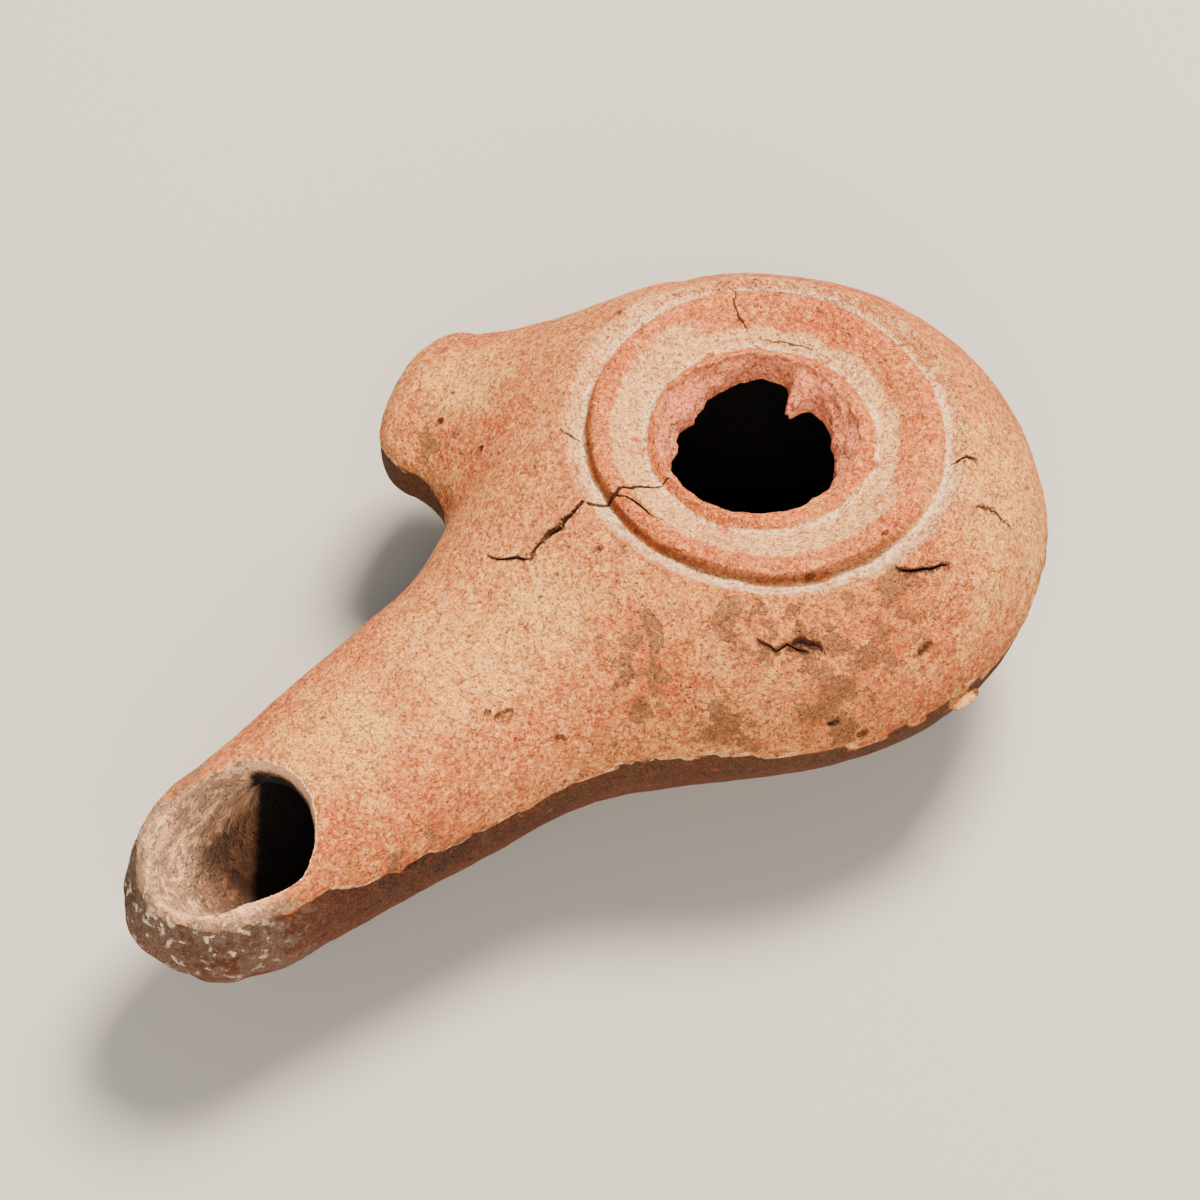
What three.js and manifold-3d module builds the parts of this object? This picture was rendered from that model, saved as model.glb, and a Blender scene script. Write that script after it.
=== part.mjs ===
// Mould-made pottery oil lamp with a long nozzle and one side lug, in millimetres.
// The origin is on the body's upright axis, on the surface that the lamp stands on.
// +X runs along the nozzle, +Z is up and the lug is on the -Y side.
import * as THREE from 'three';
import { ParametricGeometry } from 'three/addons/geometries/ParametricGeometry.js';
import { mergeVertices } from 'three/addons/utils/BufferGeometryUtils.js';
import Module from 'manifold-3d';

const { clamp, degToRad, lerp } = THREE.MathUtils;

// Thickness of the clay
const WALL = 4.0;
const TOP_PLATE = 3.2;

// The turned body, with the powers of its curve across and up
const BODY = {
    radius: 27.0,
    crownRise: 18.2,
    bellyDrop: 16.4,
    crownPowers: { across: 2.5, up: 1.83 },
    bellyPowers: { across: 2.08, up: 1.56 },
};

// The foot is an oval that reaches forward under the nozzle and lifts the belly by its standing height
const FOOT = {
    halfLength: 18.4,
    halfWidth: 14.4,
    x: 3.4,
    y: -1.2,
    angle: degToRad(-5),
    height: 5.0,
    standing: 0.9,
    edge: 0.6,
    draw: 0.35,
};
const WIDEST_HEIGHT = BODY.bellyDrop + FOOT.standing;

// The nozzle's middle line rises or falls from the body's widest line
const NOZZLE = {
    length: 58.7,
    endCap: 13.85,
    root: { halfWidth: 17.2, above: 13.0, below: 13.3, side: -1.6, rise: -0.8 },
    tip: { halfWidth: 10.0, above: 10.0, below: 8.15, side: -1.8, rise: -1.2 },
    power: 2.07,
    blend: 11.0,
};
const CHANNEL = { shortOfNozzle: 8.7, endCap: 13.5, power: 2.2 };

// The lug starts inside the body, in from its widest line
const LUG = {
    startAngle: degToRad(-70.6),
    startInset: 10.5,
    angle: degToRad(-60.4),
    length: 16.7,
    endCap: 5.9,
    root: { halfWidth: 15.2, halfHeight: 11.1, rise: 1.7 },
    tip: { halfWidth: 9.5, halfHeight: 5.4, rise: -0.8 },
    power: 2.2,
    blend: 5.9,
    sink: 0.35,
};

// Broken fill hole, and the rings of the sunk top around it.
// Outer rings lie in from the shoulder's edge and inner rings out from the hole's edge,
// and all of them lie down from the shoulder's edge.
const FILL_HOLE = { x: -0.2, y: -1.5, radius: 9.0, narrowing: 1.2, raggedness: 0.3 };
const SHOULDER_WIDTH = 8.4;
const OUTER_RINGS = [
    { in: 0, down: 0 },
    { in: 1.5, down: 1.0 },
    { in: 2.1, down: 0.15 },
    { in: 3.1, down: -0.2 },
    { in: 4.2, down: 0.2 },
];
const INNER_RINGS = [
    { out: 3.6, down: 1.15 },
    { out: 1.9, down: 1.7 },
    { out: 0.9, down: 1.0 },
    { out: -0.2, down: 1.45 },
];
const OUTER_RING_SHIFT = { x: -0.5, y: -0.5 };
const INNER_RING_SHIFT = { x: -0.1, y: -1.1 };
const RING_OVALITY = { size: 0.45, angle: degToRad(68) };

// Wick hole with the worn scoop in front of it, measured from the nozzle's length, sides and top
const WICK_HOLE = { past: 1.8, side: 1.0, drop: 0.1, toBody: 5.8, sideRim: 3.5, tipRim: 0.85, floorStep: 0.45 };

// Mesh fineness: facets around, and rows in the opening fan, along the line and in the closing fan
const TRUNK_GRID = { facetsAround: 40, facetsOpening: 13, facetsAlong: 27, facetsClosing: 10 };
const LUG_GRID = { facetsAround: 30, facetsOpening: 2, facetsAlong: 7, facetsClosing: 8 };
const CAVITY_GRID = { facetsAround: 24, facetsOpening: 9, facetsAlong: 12, facetsClosing: 7 };
const RING_GRID = { facetsAround: 60, facetsAlong: 15 };
const HOLE_FACETS = 48;
const WICK_GRID = { facetsAround: 32, facetsAlong: 16 };
const FOOT_FACETS = 48;
const BISECTIONS = 26;

// Lengths past every surface of the lamp
const SEARCH_REACH = NOZZLE.length + BODY.radius;
const ABOVE_ALL = WIDEST_HEIGHT + 2 * BODY.crownRise;

const UP = new THREE.Vector3(0, 0, 1);
const CLAY = new THREE.MeshStandardMaterial({ color: 0xc98a66, roughness: 0.92, metalness: 0.0 });

// Least of two distances, rounded over the given width where they are close
function smoothLeast(a, b, width) {
    const share = Math.max(width - Math.abs(a - b), 0) / width;
    return Math.min(a, b) - share * share * width * 0.25;
}

// Rough distance from a superellipsoid, given the point's offset and the three half sizes
function superellipsoidDistance(offset, size, power) {
    const sum = offset.reduce((total, value, i) => total + Math.abs(value / size[i]) ** power, 0);
    const reach = Math.max(sum ** (1 / power), 1e-6);
    return Math.hypot(...offset) * (1 - 1 / reach);
}

// The body, rounder below its widest line than above it
function bodyDistance(x, y, z) {
    const across = Math.hypot(x, y);
    const rise = z - WIDEST_HEIGHT;
    const powers = rise > 0 ? BODY.crownPowers : BODY.bellyPowers;
    const half = rise > 0 ? BODY.crownRise : BODY.bellyDrop;
    const sum = (across / BODY.radius) ** powers.across + Math.abs(rise / half) ** powers.up;
    const reach = Math.max(sum ** (1 / powers.across), 1e-6);
    return Math.hypot(across, rise) * (1 - 1 / reach);
}

// Height of the body's uncut crown at a radius
function crownHeight(radius) {
    const left = 1 - (radius / BODY.radius) ** BODY.crownPowers.across;
    return WIDEST_HEIGHT + BODY.crownRise * left ** (1 / BODY.crownPowers.up);
}

// Section of the nozzle at a place along it
function nozzleSection(x) {
    const t = clamp(x / NOZZLE.length, 0, 1);
    const between = (key) => lerp(NOZZLE.root[key], NOZZLE.tip[key], t);
    return {
        halfWidth: between('halfWidth'),
        above: between('above'),
        below: between('below'),
        side: between('side'),
        height: WIDEST_HEIGHT + between('rise'),
    };
}

// Rough distance from a tapering tube that keeps inside the nozzle by an inset and ends in a cap
function taperDistance(x, y, z, inset, length, endCap, power) {
    const section = nozzleSection(x);
    const rise = z - section.height;
    const half = (rise > 0 ? section.above : section.below) - inset;
    const beyond = Math.max(x - length, 0) + Math.max(-x, 0);
    return superellipsoidDistance([y - section.side, rise, beyond], [section.halfWidth - inset, half, endCap], power);
}

// Body and nozzle flowing into each other, flat under the body where the foot is
function trunkDistance(x, y, z) {
    const nozzle = taperDistance(x, y, z, 0, NOZZLE.length, NOZZLE.endCap, NOZZLE.power);
    const flowing = smoothLeast(bodyDistance(x, y, z), nozzle, NOZZLE.blend);
    return Math.max(flowing, FOOT.standing - z);
}

// Where the lug's middle line starts, inside the body
function lugStart() {
    const radius = BODY.radius - LUG.startInset;
    const height = WIDEST_HEIGHT + LUG.root.rise;
    return new THREE.Vector3(radius * Math.cos(LUG.startAngle), radius * Math.sin(LUG.startAngle), height);
}

// The lug, a tapering tongue
function lugDistance(x, y, z, start) {
    const along = new THREE.Vector2(x - start.x, y - start.y).rotateAround(new THREE.Vector2(), -LUG.angle);
    const t = clamp(along.x / LUG.length, 0, 1);
    const between = (key) => lerp(LUG.root[key], LUG.tip[key], t);
    const beyond = Math.max(along.x - LUG.length, 0) + Math.max(-along.x, 0);
    const offset = [along.y, z - WIDEST_HEIGHT - between('rise'), beyond];
    return superellipsoidDistance(offset, [between('halfWidth'), between('halfHeight'), LUG.endCap], LUG.power);
}

// The lug with its root, which dips under the trunk's skin where it ends
function rootedLugDistance(x, y, z, start) {
    const rooted = smoothLeast(trunkDistance(x, y, z) + LUG.sink, lugDistance(x, y, z, start), LUG.blend);
    const reach = LUG.length + LUG.endCap + LUG.blend / 4;
    return Math.max(rooted, Math.hypot(x - start.x, y - start.y, z - start.z) - reach);
}

// Oil chamber and channel, a wall's thickness inside the skin and kept below the top plate
function cavityDistance(x, y, z, ceiling) {
    const chamber = bodyDistance(x, y, z) + WALL;
    const length = NOZZLE.length - CHANNEL.shortOfNozzle;
    const channel = taperDistance(x, y, z, WALL, length, CHANNEL.endCap, CHANNEL.power);
    const hollow = smoothLeast(chamber, channel, NOZZLE.blend / 2);
    return -smoothLeast(-hollow, ceiling - z, WALL / 2);
}

// Closed surface met by rays that fan out from a line inside it, with its poles past the line's ends
function raySkin(distance, from, to, grid) {
    const rows = grid.facetsOpening + grid.facetsAlong + grid.facetsClosing;
    const forward = new THREE.Vector3(to.x - from.x, to.y - from.y, 0).normalize();
    const sideways = new THREE.Vector3().crossVectors(UP, forward);
    const surface = (u, v, target) => {
        const around = 2 * Math.PI * (u === 1 ? 0 : u);
        const row = v * rows;
        const opening = clamp(row / grid.facetsOpening, 0, 1);
        const travel = clamp((row - grid.facetsOpening) / grid.facetsAlong, 0, 1);
        const closing = clamp((row - grid.facetsOpening - grid.facetsAlong) / grid.facetsClosing, 0, 1);
        const tilt = (opening + closing) * Math.PI / 2;
        const out = v === 0 || v === 1 ? 0 : Math.sin(tilt);
        const step = forward.clone().multiplyScalar(-Math.cos(tilt));
        step.addScaledVector(sideways, out * Math.cos(around)).addScaledVector(UP, out * Math.sin(around));
        const start = from.clone().lerp(to, travel);
        let inside = 0;
        let outside = SEARCH_REACH;
        for (let i = 0; i < BISECTIONS; i += 1) {
            const middle = (inside + outside) / 2;
            target.copy(start).addScaledVector(step, middle);
            if (distance(target.x, target.y, target.z) < 0) inside = middle;
            else outside = middle;
        }
    };
    return new ParametricGeometry(surface, grid.facetsAround, rows);
}

// Point on the middle line of the nozzle
function nozzleMiddle(x) {
    const section = nozzleSection(x);
    return new THREE.Vector3(x, section.side, section.height);
}

// Outer skin of body and nozzle
function trunkGeometry() {
    const from = new THREE.Vector3(0, 0, WIDEST_HEIGHT);
    return raySkin(trunkDistance, from, nozzleMiddle(NOZZLE.length), TRUNK_GRID);
}

// Outer skin of the lug
function lugGeometry() {
    const start = lugStart();
    const along = new THREE.Vector3(Math.cos(LUG.angle), Math.sin(LUG.angle), 0);
    const to = start.clone().addScaledVector(along, LUG.length - LUG.endCap / 2);
    to.z = WIDEST_HEIGHT + LUG.tip.rise;
    return raySkin((x, y, z) => rootedLugDistance(x, y, z, start), start, to, LUG_GRID);
}

// Hollow of the oil chamber and the nozzle
function cavityGeometry(lowestRing) {
    const ceiling = lowestRing - TOP_PLATE;
    const from = new THREE.Vector3(0, 0, WIDEST_HEIGHT);
    const to = nozzleMiddle(NOZZLE.length - CHANNEL.shortOfNozzle);
    return raySkin((x, y, z) => cavityDistance(x, y, z, ceiling), from, to, CAVITY_GRID);
}

// Rings of the top as radius and height, from the fill hole out to the shoulder's edge
function topRings() {
    const edgeRadius = BODY.radius - SHOULDER_WIDTH;
    const edgeHeight = crownHeight(edgeRadius);
    const outer = OUTER_RINGS.map((ring) => new THREE.Vector2(edgeRadius - ring.in, edgeHeight - ring.down));
    const inner = INNER_RINGS.map((ring) => new THREE.Vector2(FILL_HOLE.radius + ring.out, edgeHeight - ring.down));
    return [...inner.reverse(), ...outer.reverse()];
}

// Closed surface around +Z through rows of radius and height that start and end on the axis.
// The place function gives each point its centre and radius.
function turnedGeometry(rows, facets, place) {
    const surface = (u, v, target) => {
        const around = 2 * Math.PI * (u === 1 ? 0 : u);
        const row = rows[Math.round(v * (rows.length - 1))];
        const spot = place(around, row);
        const radius = row.x === 0 ? 0 : spot.radius;
        target.set(spot.x + radius * Math.cos(around), spot.y + radius * Math.sin(around), row.y);
    };
    return new ParametricGeometry(surface, facets, rows.length - 1);
}

// Cutter whose under side is the ringed top
function ringCutterGeometry(rings) {
    const inner = rings[0];
    const outer = rings[rings.length - 1];
    const clear = outer.clone().addScalar(FOOT.height / 4);
    const rows = [
        new THREE.Vector2(0, inner.y),
        ...new THREE.SplineCurve(rings).getPoints(RING_GRID.facetsAlong),
        clear,
        new THREE.Vector2(clear.x, ABOVE_ALL),
        new THREE.Vector2(0, ABOVE_ALL),
    ];
    const place = (around, row) => {
        const share = clamp((row.x - inner.x) / (outer.x - inner.x), 0, 1);
        return {
            x: lerp(INNER_RING_SHIFT.x, OUTER_RING_SHIFT.x, share),
            y: lerp(INNER_RING_SHIFT.y, OUTER_RING_SHIFT.y, share),
            radius: row.x + RING_OVALITY.size * share * Math.cos(2 * (around - RING_OVALITY.angle)),
        };
    };
    return turnedGeometry(rows, RING_GRID.facetsAround, place);
}

// Cutter for the fill hole, narrower below and with a ragged edge
function fillHoleGeometry(rings, lowestRing) {
    const bottom = lowestRing - TOP_PLATE - WALL;
    const top = ABOVE_ALL;
    const narrow = FILL_HOLE.radius - FILL_HOLE.narrowing;
    const rows = [
        new THREE.Vector2(0, bottom),
        new THREE.Vector2(narrow, bottom),
        new THREE.Vector2(narrow, lowestRing - TOP_PLATE),
        new THREE.Vector2(FILL_HOLE.radius, rings[0].y),
        new THREE.Vector2(FILL_HOLE.radius, top),
        new THREE.Vector2(0, top),
    ];
    const place = (around, row) => {
        const broad = Math.sin(2 * around + 0.4) + 0.8 * Math.sin(3 * around + row.y);
        const waves = broad + 0.5 * Math.sin(8 * around);
        return { x: FILL_HOLE.x, y: FILL_HOLE.y, radius: row.x + FILL_HOLE.raggedness * waves };
    };
    return turnedGeometry(rows, HOLE_FACETS, place);
}

// Cutter for the wick hole and scoop, an egg that is longer towards the tip
function wickHoleGeometry() {
    const tip = nozzleSection(NOZZLE.length);
    const top = tip.height + tip.above - WICK_HOLE.drop;
    const floor = tip.height - tip.below + WALL + WICK_HOLE.floorStep;
    const centre = new THREE.Vector3(NOZZLE.length + WICK_HOLE.past, tip.side + WICK_HOLE.side, top);
    const toTip = NOZZLE.endCap - WICK_HOLE.past - WICK_HOLE.tipRim;
    const halfWidth = tip.halfWidth - WICK_HOLE.sideRim;
    const surface = (u, v, target) => {
        const around = 2 * Math.PI * (u === 1 ? 0 : u);
        const out = v === 0 || v === 1 ? 0 : Math.sin(Math.PI * v);
        const length = Math.cos(around) > 0 ? toTip : WICK_HOLE.toBody;
        const up = -Math.cos(Math.PI * v) * (top - floor);
        target.set(out * Math.cos(around) * length, out * Math.sin(around) * halfWidth, up);
        target.add(centre);
    };
    return new ParametricGeometry(surface, WICK_GRID.facetsAround, WICK_GRID.facetsAlong);
}

// Flat oval foot whose root is drawn in a little inside the belly
function footGeometry() {
    const width = FOOT.halfWidth;
    const profile = new THREE.Path();
    profile.moveTo(0, 0);
    profile.lineTo(width - FOOT.edge, 0);
    profile.quadraticCurveTo(width, 0, width, FOOT.edge);
    profile.quadraticCurveTo(width, FOOT.height / 2, width - FOOT.draw, FOOT.height);
    profile.lineTo(0, FOOT.height);
    const geometry = new THREE.LatheGeometry(profile.getPoints(3), FOOT_FACETS);
    geometry.rotateX(Math.PI / 2);
    geometry.scale(FOOT.halfLength / FOOT.halfWidth, 1, 1);
    geometry.rotateZ(FOOT.angle);
    geometry.translate(FOOT.x, FOOT.y, 0);
    return geometry;
}

// Signed volume, which is negative where the faces point in
function signedVolume(vertices, triangles) {
    const corners = [new THREE.Vector3(), new THREE.Vector3(), new THREE.Vector3()];
    let volume = 0;
    for (let i = 0; i < triangles.length; i += 3) {
        corners.forEach((corner, k) => corner.fromArray(vertices, 3 * triangles[i + k]));
        volume += corners[0].dot(corners[1].cross(corners[2])) / 6;
    }
    return volume;
}

// Solid from a closed geometry, without the empty triangles at its poles
function solidFrom(wasm, geometry) {
    geometry.deleteAttribute('normal');
    geometry.deleteAttribute('uv');
    const merged = mergeVertices(geometry);
    const vertices = Float32Array.from(merged.attributes.position.array);
    const index = merged.index.array;
    const triangles = [];
    for (let i = 0; i < index.length; i += 3) {
        const [a, b, c] = index.slice(i, i + 3);
        if (a !== b && b !== c && c !== a) triangles.push(a, b, c);
    }
    if (signedVolume(vertices, triangles) < 0) triangles.reverse();
    const mesh = new wasm.Mesh({ numProp: 3, vertProperties: vertices, triVerts: Uint32Array.from(triangles) });
    return new wasm.Manifold(mesh);
}

// Geometry from a solid
function geometryFrom(solid) {
    const mesh = solid.getMesh();
    const geometry = new THREE.BufferGeometry();
    geometry.setAttribute('position', new THREE.BufferAttribute(mesh.vertProperties, 3));
    geometry.setIndex(new THREE.BufferAttribute(mesh.triVerts, 1));
    geometry.computeVertexNormals();
    return geometry;
}

// The whole lamp, one piece of fired clay
function makeLamp(wasm) {
    const rings = topRings();
    const lowestRing = Math.min(...rings.map((ring) => ring.y));
    const solid = (geometry) => solidFrom(wasm, geometry);
    const whole = solid(trunkGeometry()).add(solid(lugGeometry())).add(solid(footGeometry()));
    const cutters = [
        cavityGeometry(lowestRing),
        ringCutterGeometry(rings),
        fillHoleGeometry(rings, lowestRing),
        wickHoleGeometry(),
    ];
    return cutters.reduce((lamp, cutter) => lamp.subtract(solid(cutter)), whole);
}

const wasm = await Module();
wasm.setup();

const lamp = new THREE.Mesh(geometryFrom(makeLamp(wasm)), CLAY);
lamp.name = 'oil_lamp';

const group = new THREE.Group();
group.add(lamp);

export default group;
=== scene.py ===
"""Weathered pottery oil lamp: its worn clay surface, a pale studio floor, soft light and the camera."""

import logging
from dataclasses import dataclass, field, replace
from enum import Enum
from math import radians
from typing import Callable, Iterable, Optional

import bpy
import numpy as np
from mathutils import Matrix, Vector


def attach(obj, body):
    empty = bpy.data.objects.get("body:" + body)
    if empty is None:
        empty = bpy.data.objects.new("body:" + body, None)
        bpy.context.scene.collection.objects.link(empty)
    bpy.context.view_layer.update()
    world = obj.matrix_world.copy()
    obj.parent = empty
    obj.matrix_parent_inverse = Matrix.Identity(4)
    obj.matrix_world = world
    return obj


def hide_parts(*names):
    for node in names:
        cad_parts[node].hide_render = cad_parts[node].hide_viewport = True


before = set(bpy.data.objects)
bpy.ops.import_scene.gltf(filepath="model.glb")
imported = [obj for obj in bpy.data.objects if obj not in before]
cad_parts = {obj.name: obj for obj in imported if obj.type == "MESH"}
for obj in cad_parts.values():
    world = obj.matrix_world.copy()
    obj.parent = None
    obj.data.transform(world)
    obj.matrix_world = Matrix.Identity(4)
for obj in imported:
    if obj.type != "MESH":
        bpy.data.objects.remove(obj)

Array = np.ndarray
Distance = Callable[[Array], Array]
Socket = bpy.types.NodeSocket

MM = 0.001
NODE = "oil_lamp"
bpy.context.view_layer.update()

log = logging.getLogger("oil_lamp_scene")


class Cut(Enum):
    """What made each face, stored as a whole number on the faces."""

    SKIN = 0
    HOLLOW = 1
    RINGS = 2
    FILL_HOLE = 3
    SCOOP = 4
    CRACK = 5
    PIT = 6


class Mask(Enum):
    """Painted shares of the clay surface, stored as point attributes."""

    # painted shade: near black over the hollow and the deep end of the wick hole
    INSIDE_SHADE = "inside"
    # painted shade in the cracks and pits
    CLEFT_SHADE = "cleft"
    # painted shade on the steep rise of the outer ring, on the side turned away from the key light
    RING_SHADE = "grime"
    # pale worn clay of the scoop and its rim, made lighter as painted light where it lies in shadow
    SCOOPED_AND_LIT = "scooped"
    # dark-fired lower half, made darker still as painted shade under the widest line
    DARK_FIRED_AND_SHADE = "dark_fired"
    # painted shade on the bottom, which faces the floor
    UNDERSIDE_SHADE = "underside"
    SEAM_EDGE = "seam_edge"
    SOOT = "soot"
    CHALK = "chalk"
    # pale dust in the ring grooves, plus a painted highlight on the lip of the outer ring on the lit side
    DUST_AND_HIGHLIGHT = "dust"
    PALE_SLIP = "pale_slip"
    RED_SLIP = "red_slip"
    BROKEN = "broken"
    FLAKED = "flaked"
    # paler worn slip, and painted highlights on the shoulder and the nozzle top
    RUBBED_AND_HIGHLIGHT = "rubbed"


# Distances and noise, all in millimetres

LEAST_REACH = 1e-6
LATTICE_MIXERS = np.array([374761393, 668265263, 1440662683])
SEED_MIXER = 974711
LAST_MIXER = 1274126177
LATTICE_OFFSET = 1000.0


def smooth_least(a: Array, b: Array, width: float) -> Array:
    """Gives the least of two distances, rounded where they are close.

    Formula: the smaller one, less a quarter of the width times the square of how close they are.

    Args:
        a: First distances.
        b: Second distances.
        width: Difference over which the two are rounded together.

    Returns:
        The rounded least distances.
    """
    share = np.maximum(width - np.abs(a - b), 0.0) / width
    return np.minimum(a, b) - share * share * width * 0.25


def superellipsoid(offsets: Iterable[Array], sizes: Iterable[Array], power: float) -> Array:
    """Gives a rough distance from a superellipsoid.

    Formula: the offset's length times one less the inverse of its reach, where the reach is the
    power mean of each offset over its half size.

    Args:
        offsets: Offset from the middle along each of three directions.
        sizes: Half size along each direction.
        power: Power of the curve, 2 for an ellipsoid.

    Returns:
        Distances, negative inside.
    """
    offsets = list(offsets)
    total = sum(np.abs(o / s) ** power for o, s in zip(offsets, sizes))
    length = np.sqrt(sum(o * o for o in offsets))
    return length * (1.0 - 1.0 / np.maximum(total ** (1.0 / power), LEAST_REACH))


def lattice_value(cells: Array, seed: int) -> Array:
    """Gives each lattice cell a fixed number from 0 to 1 by mixing its three whole numbers.

    Args:
        cells: Whole-number cells, shape (..., 3).
        seed: Picks another set of numbers.

    Returns:
        The numbers, shape (...).
    """
    mixed = cells @ LATTICE_MIXERS + seed * SEED_MIXER
    mixed = (mixed ^ (mixed >> 13)) * LAST_MIXER
    mixed = mixed ^ (mixed >> 16)
    return (mixed & 0xFFFF) / 0xFFFF


def noise(points: Array, wavelength: float, seed: int) -> Array:
    """Gives smooth noise from -1 to 1 over points in millimetres.

    Formula: the eight lattice values around each point, mixed by a smooth step along each axis.

    Args:
        points: Points, shape (..., 3).
        wavelength: Lattice spacing in millimetres.
        seed: Picks another pattern.

    Returns:
        Noise, shape (...).
    """
    scaled = points / wavelength + LATTICE_OFFSET
    cells = np.floor(scaled).astype(np.int64)
    part = scaled - cells
    ease = part * part * (3.0 - 2.0 * part)
    total = np.zeros(points.shape[:-1])
    for corner in np.ndindex(2, 2, 2):
        step = np.array(corner)
        weight = np.prod(np.where(step == 1, ease, 1.0 - ease), axis=-1)
        total += weight * lattice_value(cells + step, seed)
    return 2.0 * total - 1.0


def layered_noise(points: Array, *layers: tuple[float, float, int]) -> Array:
    """Sum of noises, each given by its amount, its wavelength and its seed."""
    return sum(amount * noise(points, wavelength, seed) for amount, wavelength, seed in layers)


def smooth_step(values: Array, low: float, high: float) -> Array:
    """Rises smoothly from 0 at low to 1 at high, or falls where high is below low."""
    share = np.clip((values - low) / (high - low), 0.0, 1.0)
    return share * share * (3.0 - 2.0 * share)


def full_turn(count: int) -> Array:
    """Evenly spaced angles of one whole turn."""
    return np.linspace(0.0, 2.0 * np.pi, count, endpoint=False)


@dataclass(frozen=True)
class Band:
    """A stretch of values with soft ends, set by four rising values."""

    start: float
    full: float
    fading: float
    end: float

    def share(self, values: Array) -> Array:
        """Gives 1 from full to fading, and 0 before the start and past the end."""
        return smooth_step(values, self.start, self.full) * smooth_step(values, self.end, self.fading)


@dataclass(frozen=True)
class Side:
    """One side of the top, by its angle and the two cosines between which it fades in."""

    angle: float
    low: float
    high: float

    def share(self, turn: Array) -> Array:
        """How much an angle about the upright axis is on this side, from 0 to 1."""
        return smooth_step(np.cos(turn - self.angle), self.low, self.high)


# Forms of the lamp, all in millimetres


@dataclass
class Body:
    """The round body, rounder under its widest line than above it."""

    radius: float = 27.0
    crown_rise: float = 18.2
    belly_drop: float = 16.4
    crown_powers: tuple[float, float] = (2.5, 1.83)
    belly_powers: tuple[float, float] = (2.08, 1.56)
    standing: float = 0.9

    @property
    def widest_height(self) -> float:
        """Height of the widest line above the surface that the lamp stands on."""
        return self.belly_drop + self.standing

    def distance(self, points: Array) -> Array:
        """Gives the rough distance from the body.

        Formula: a superellipse turned about the upright axis, with its own powers above and below.

        Args:
            points: Points, shape (..., 3).

        Returns:
            Distances, negative inside.
        """
        across = np.hypot(points[..., 0], points[..., 1])
        rise = points[..., 2] - self.widest_height
        upper = rise > 0
        power = np.where(upper, self.crown_powers[0], self.belly_powers[0])
        lift = np.where(upper, self.crown_powers[1], self.belly_powers[1])
        half = np.where(upper, self.crown_rise, self.belly_drop)
        total = (across / self.radius) ** power + np.abs(rise / half) ** lift
        reach = np.maximum(total ** (1.0 / power), LEAST_REACH)
        return np.hypot(across, rise) * (1.0 - 1.0 / reach)

    def crown_height(self, radius: float) -> float:
        """Height of the uncut crown at a radius from the axis."""
        left = 1.0 - (radius / self.radius) ** self.crown_powers[0]
        return self.widest_height + self.crown_rise * left ** (1.0 / self.crown_powers[1])


@dataclass
class Section:
    """Half sizes and middle of the nozzle or lug at one end."""

    half_width: float
    above: float
    below: float
    rise: float
    side: float = 0.0


@dataclass
class Nozzle:
    """The tapering nozzle along +X with a rounded end."""

    base_height: float
    length: float = 58.7
    end_cap: float = 13.85
    root: Section = field(default_factory=lambda: Section(17.2, 13.0, 13.3, -0.8, -1.6))
    tip: Section = field(default_factory=lambda: Section(10.0, 10.0, 8.15, -1.2, -1.8))
    power: float = 2.07
    blend: float = 11.0
    channel_back: float = 8.7
    channel_cap: float = 13.5
    channel_power: float = 2.2

    @property
    def channel_length(self) -> float:
        """Where the end cap of the channel inside starts."""
        return self.length - self.channel_back

    def between(self, x: Array, name: str) -> Array:
        """One size of the section at each place along the nozzle, in a straight line from root to tip."""
        share = np.clip(x / self.length, 0.0, 1.0)
        return getattr(self.root, name) * (1.0 - share) + getattr(self.tip, name) * share

    def middle(self, x: float) -> Array:
        """Point on the nozzle's middle line."""
        side, rise = (float(self.between(x, name)) for name in ("side", "rise"))
        return np.array([x, side, self.base_height + rise])

    def distance(self, points: Array, inset: float, length: float, cap: float, power: float) -> Array:
        """Gives the rough distance from a tube that keeps inside the nozzle by an inset.

        Args:
            points: Points, shape (..., 3).
            inset: How far the tube lies inside the nozzle's skin.
            length: Where the tube's end cap starts.
            cap: Length of the end cap.
            power: Power of its curve.

        Returns:
            Distances, negative inside.
        """
        x, y, z = np.moveaxis(points, -1, 0)
        rise = z - self.base_height - self.between(x, "rise")
        half = np.where(rise > 0, self.between(x, "above"), self.between(x, "below")) - inset
        beyond = np.maximum(x - length, 0.0) + np.maximum(-x, 0.0)
        offsets = (y - self.between(x, "side"), rise, beyond)
        return superellipsoid(offsets, (self.between(x, "half_width") - inset, half, cap), power)

    def channel_distance(self, points: Array, wall: float) -> Array:
        """Gives the rough distance from the channel, a wall inside the skin and short of the tip."""
        return self.distance(points, wall, self.channel_length, self.channel_cap, self.channel_power)


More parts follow.
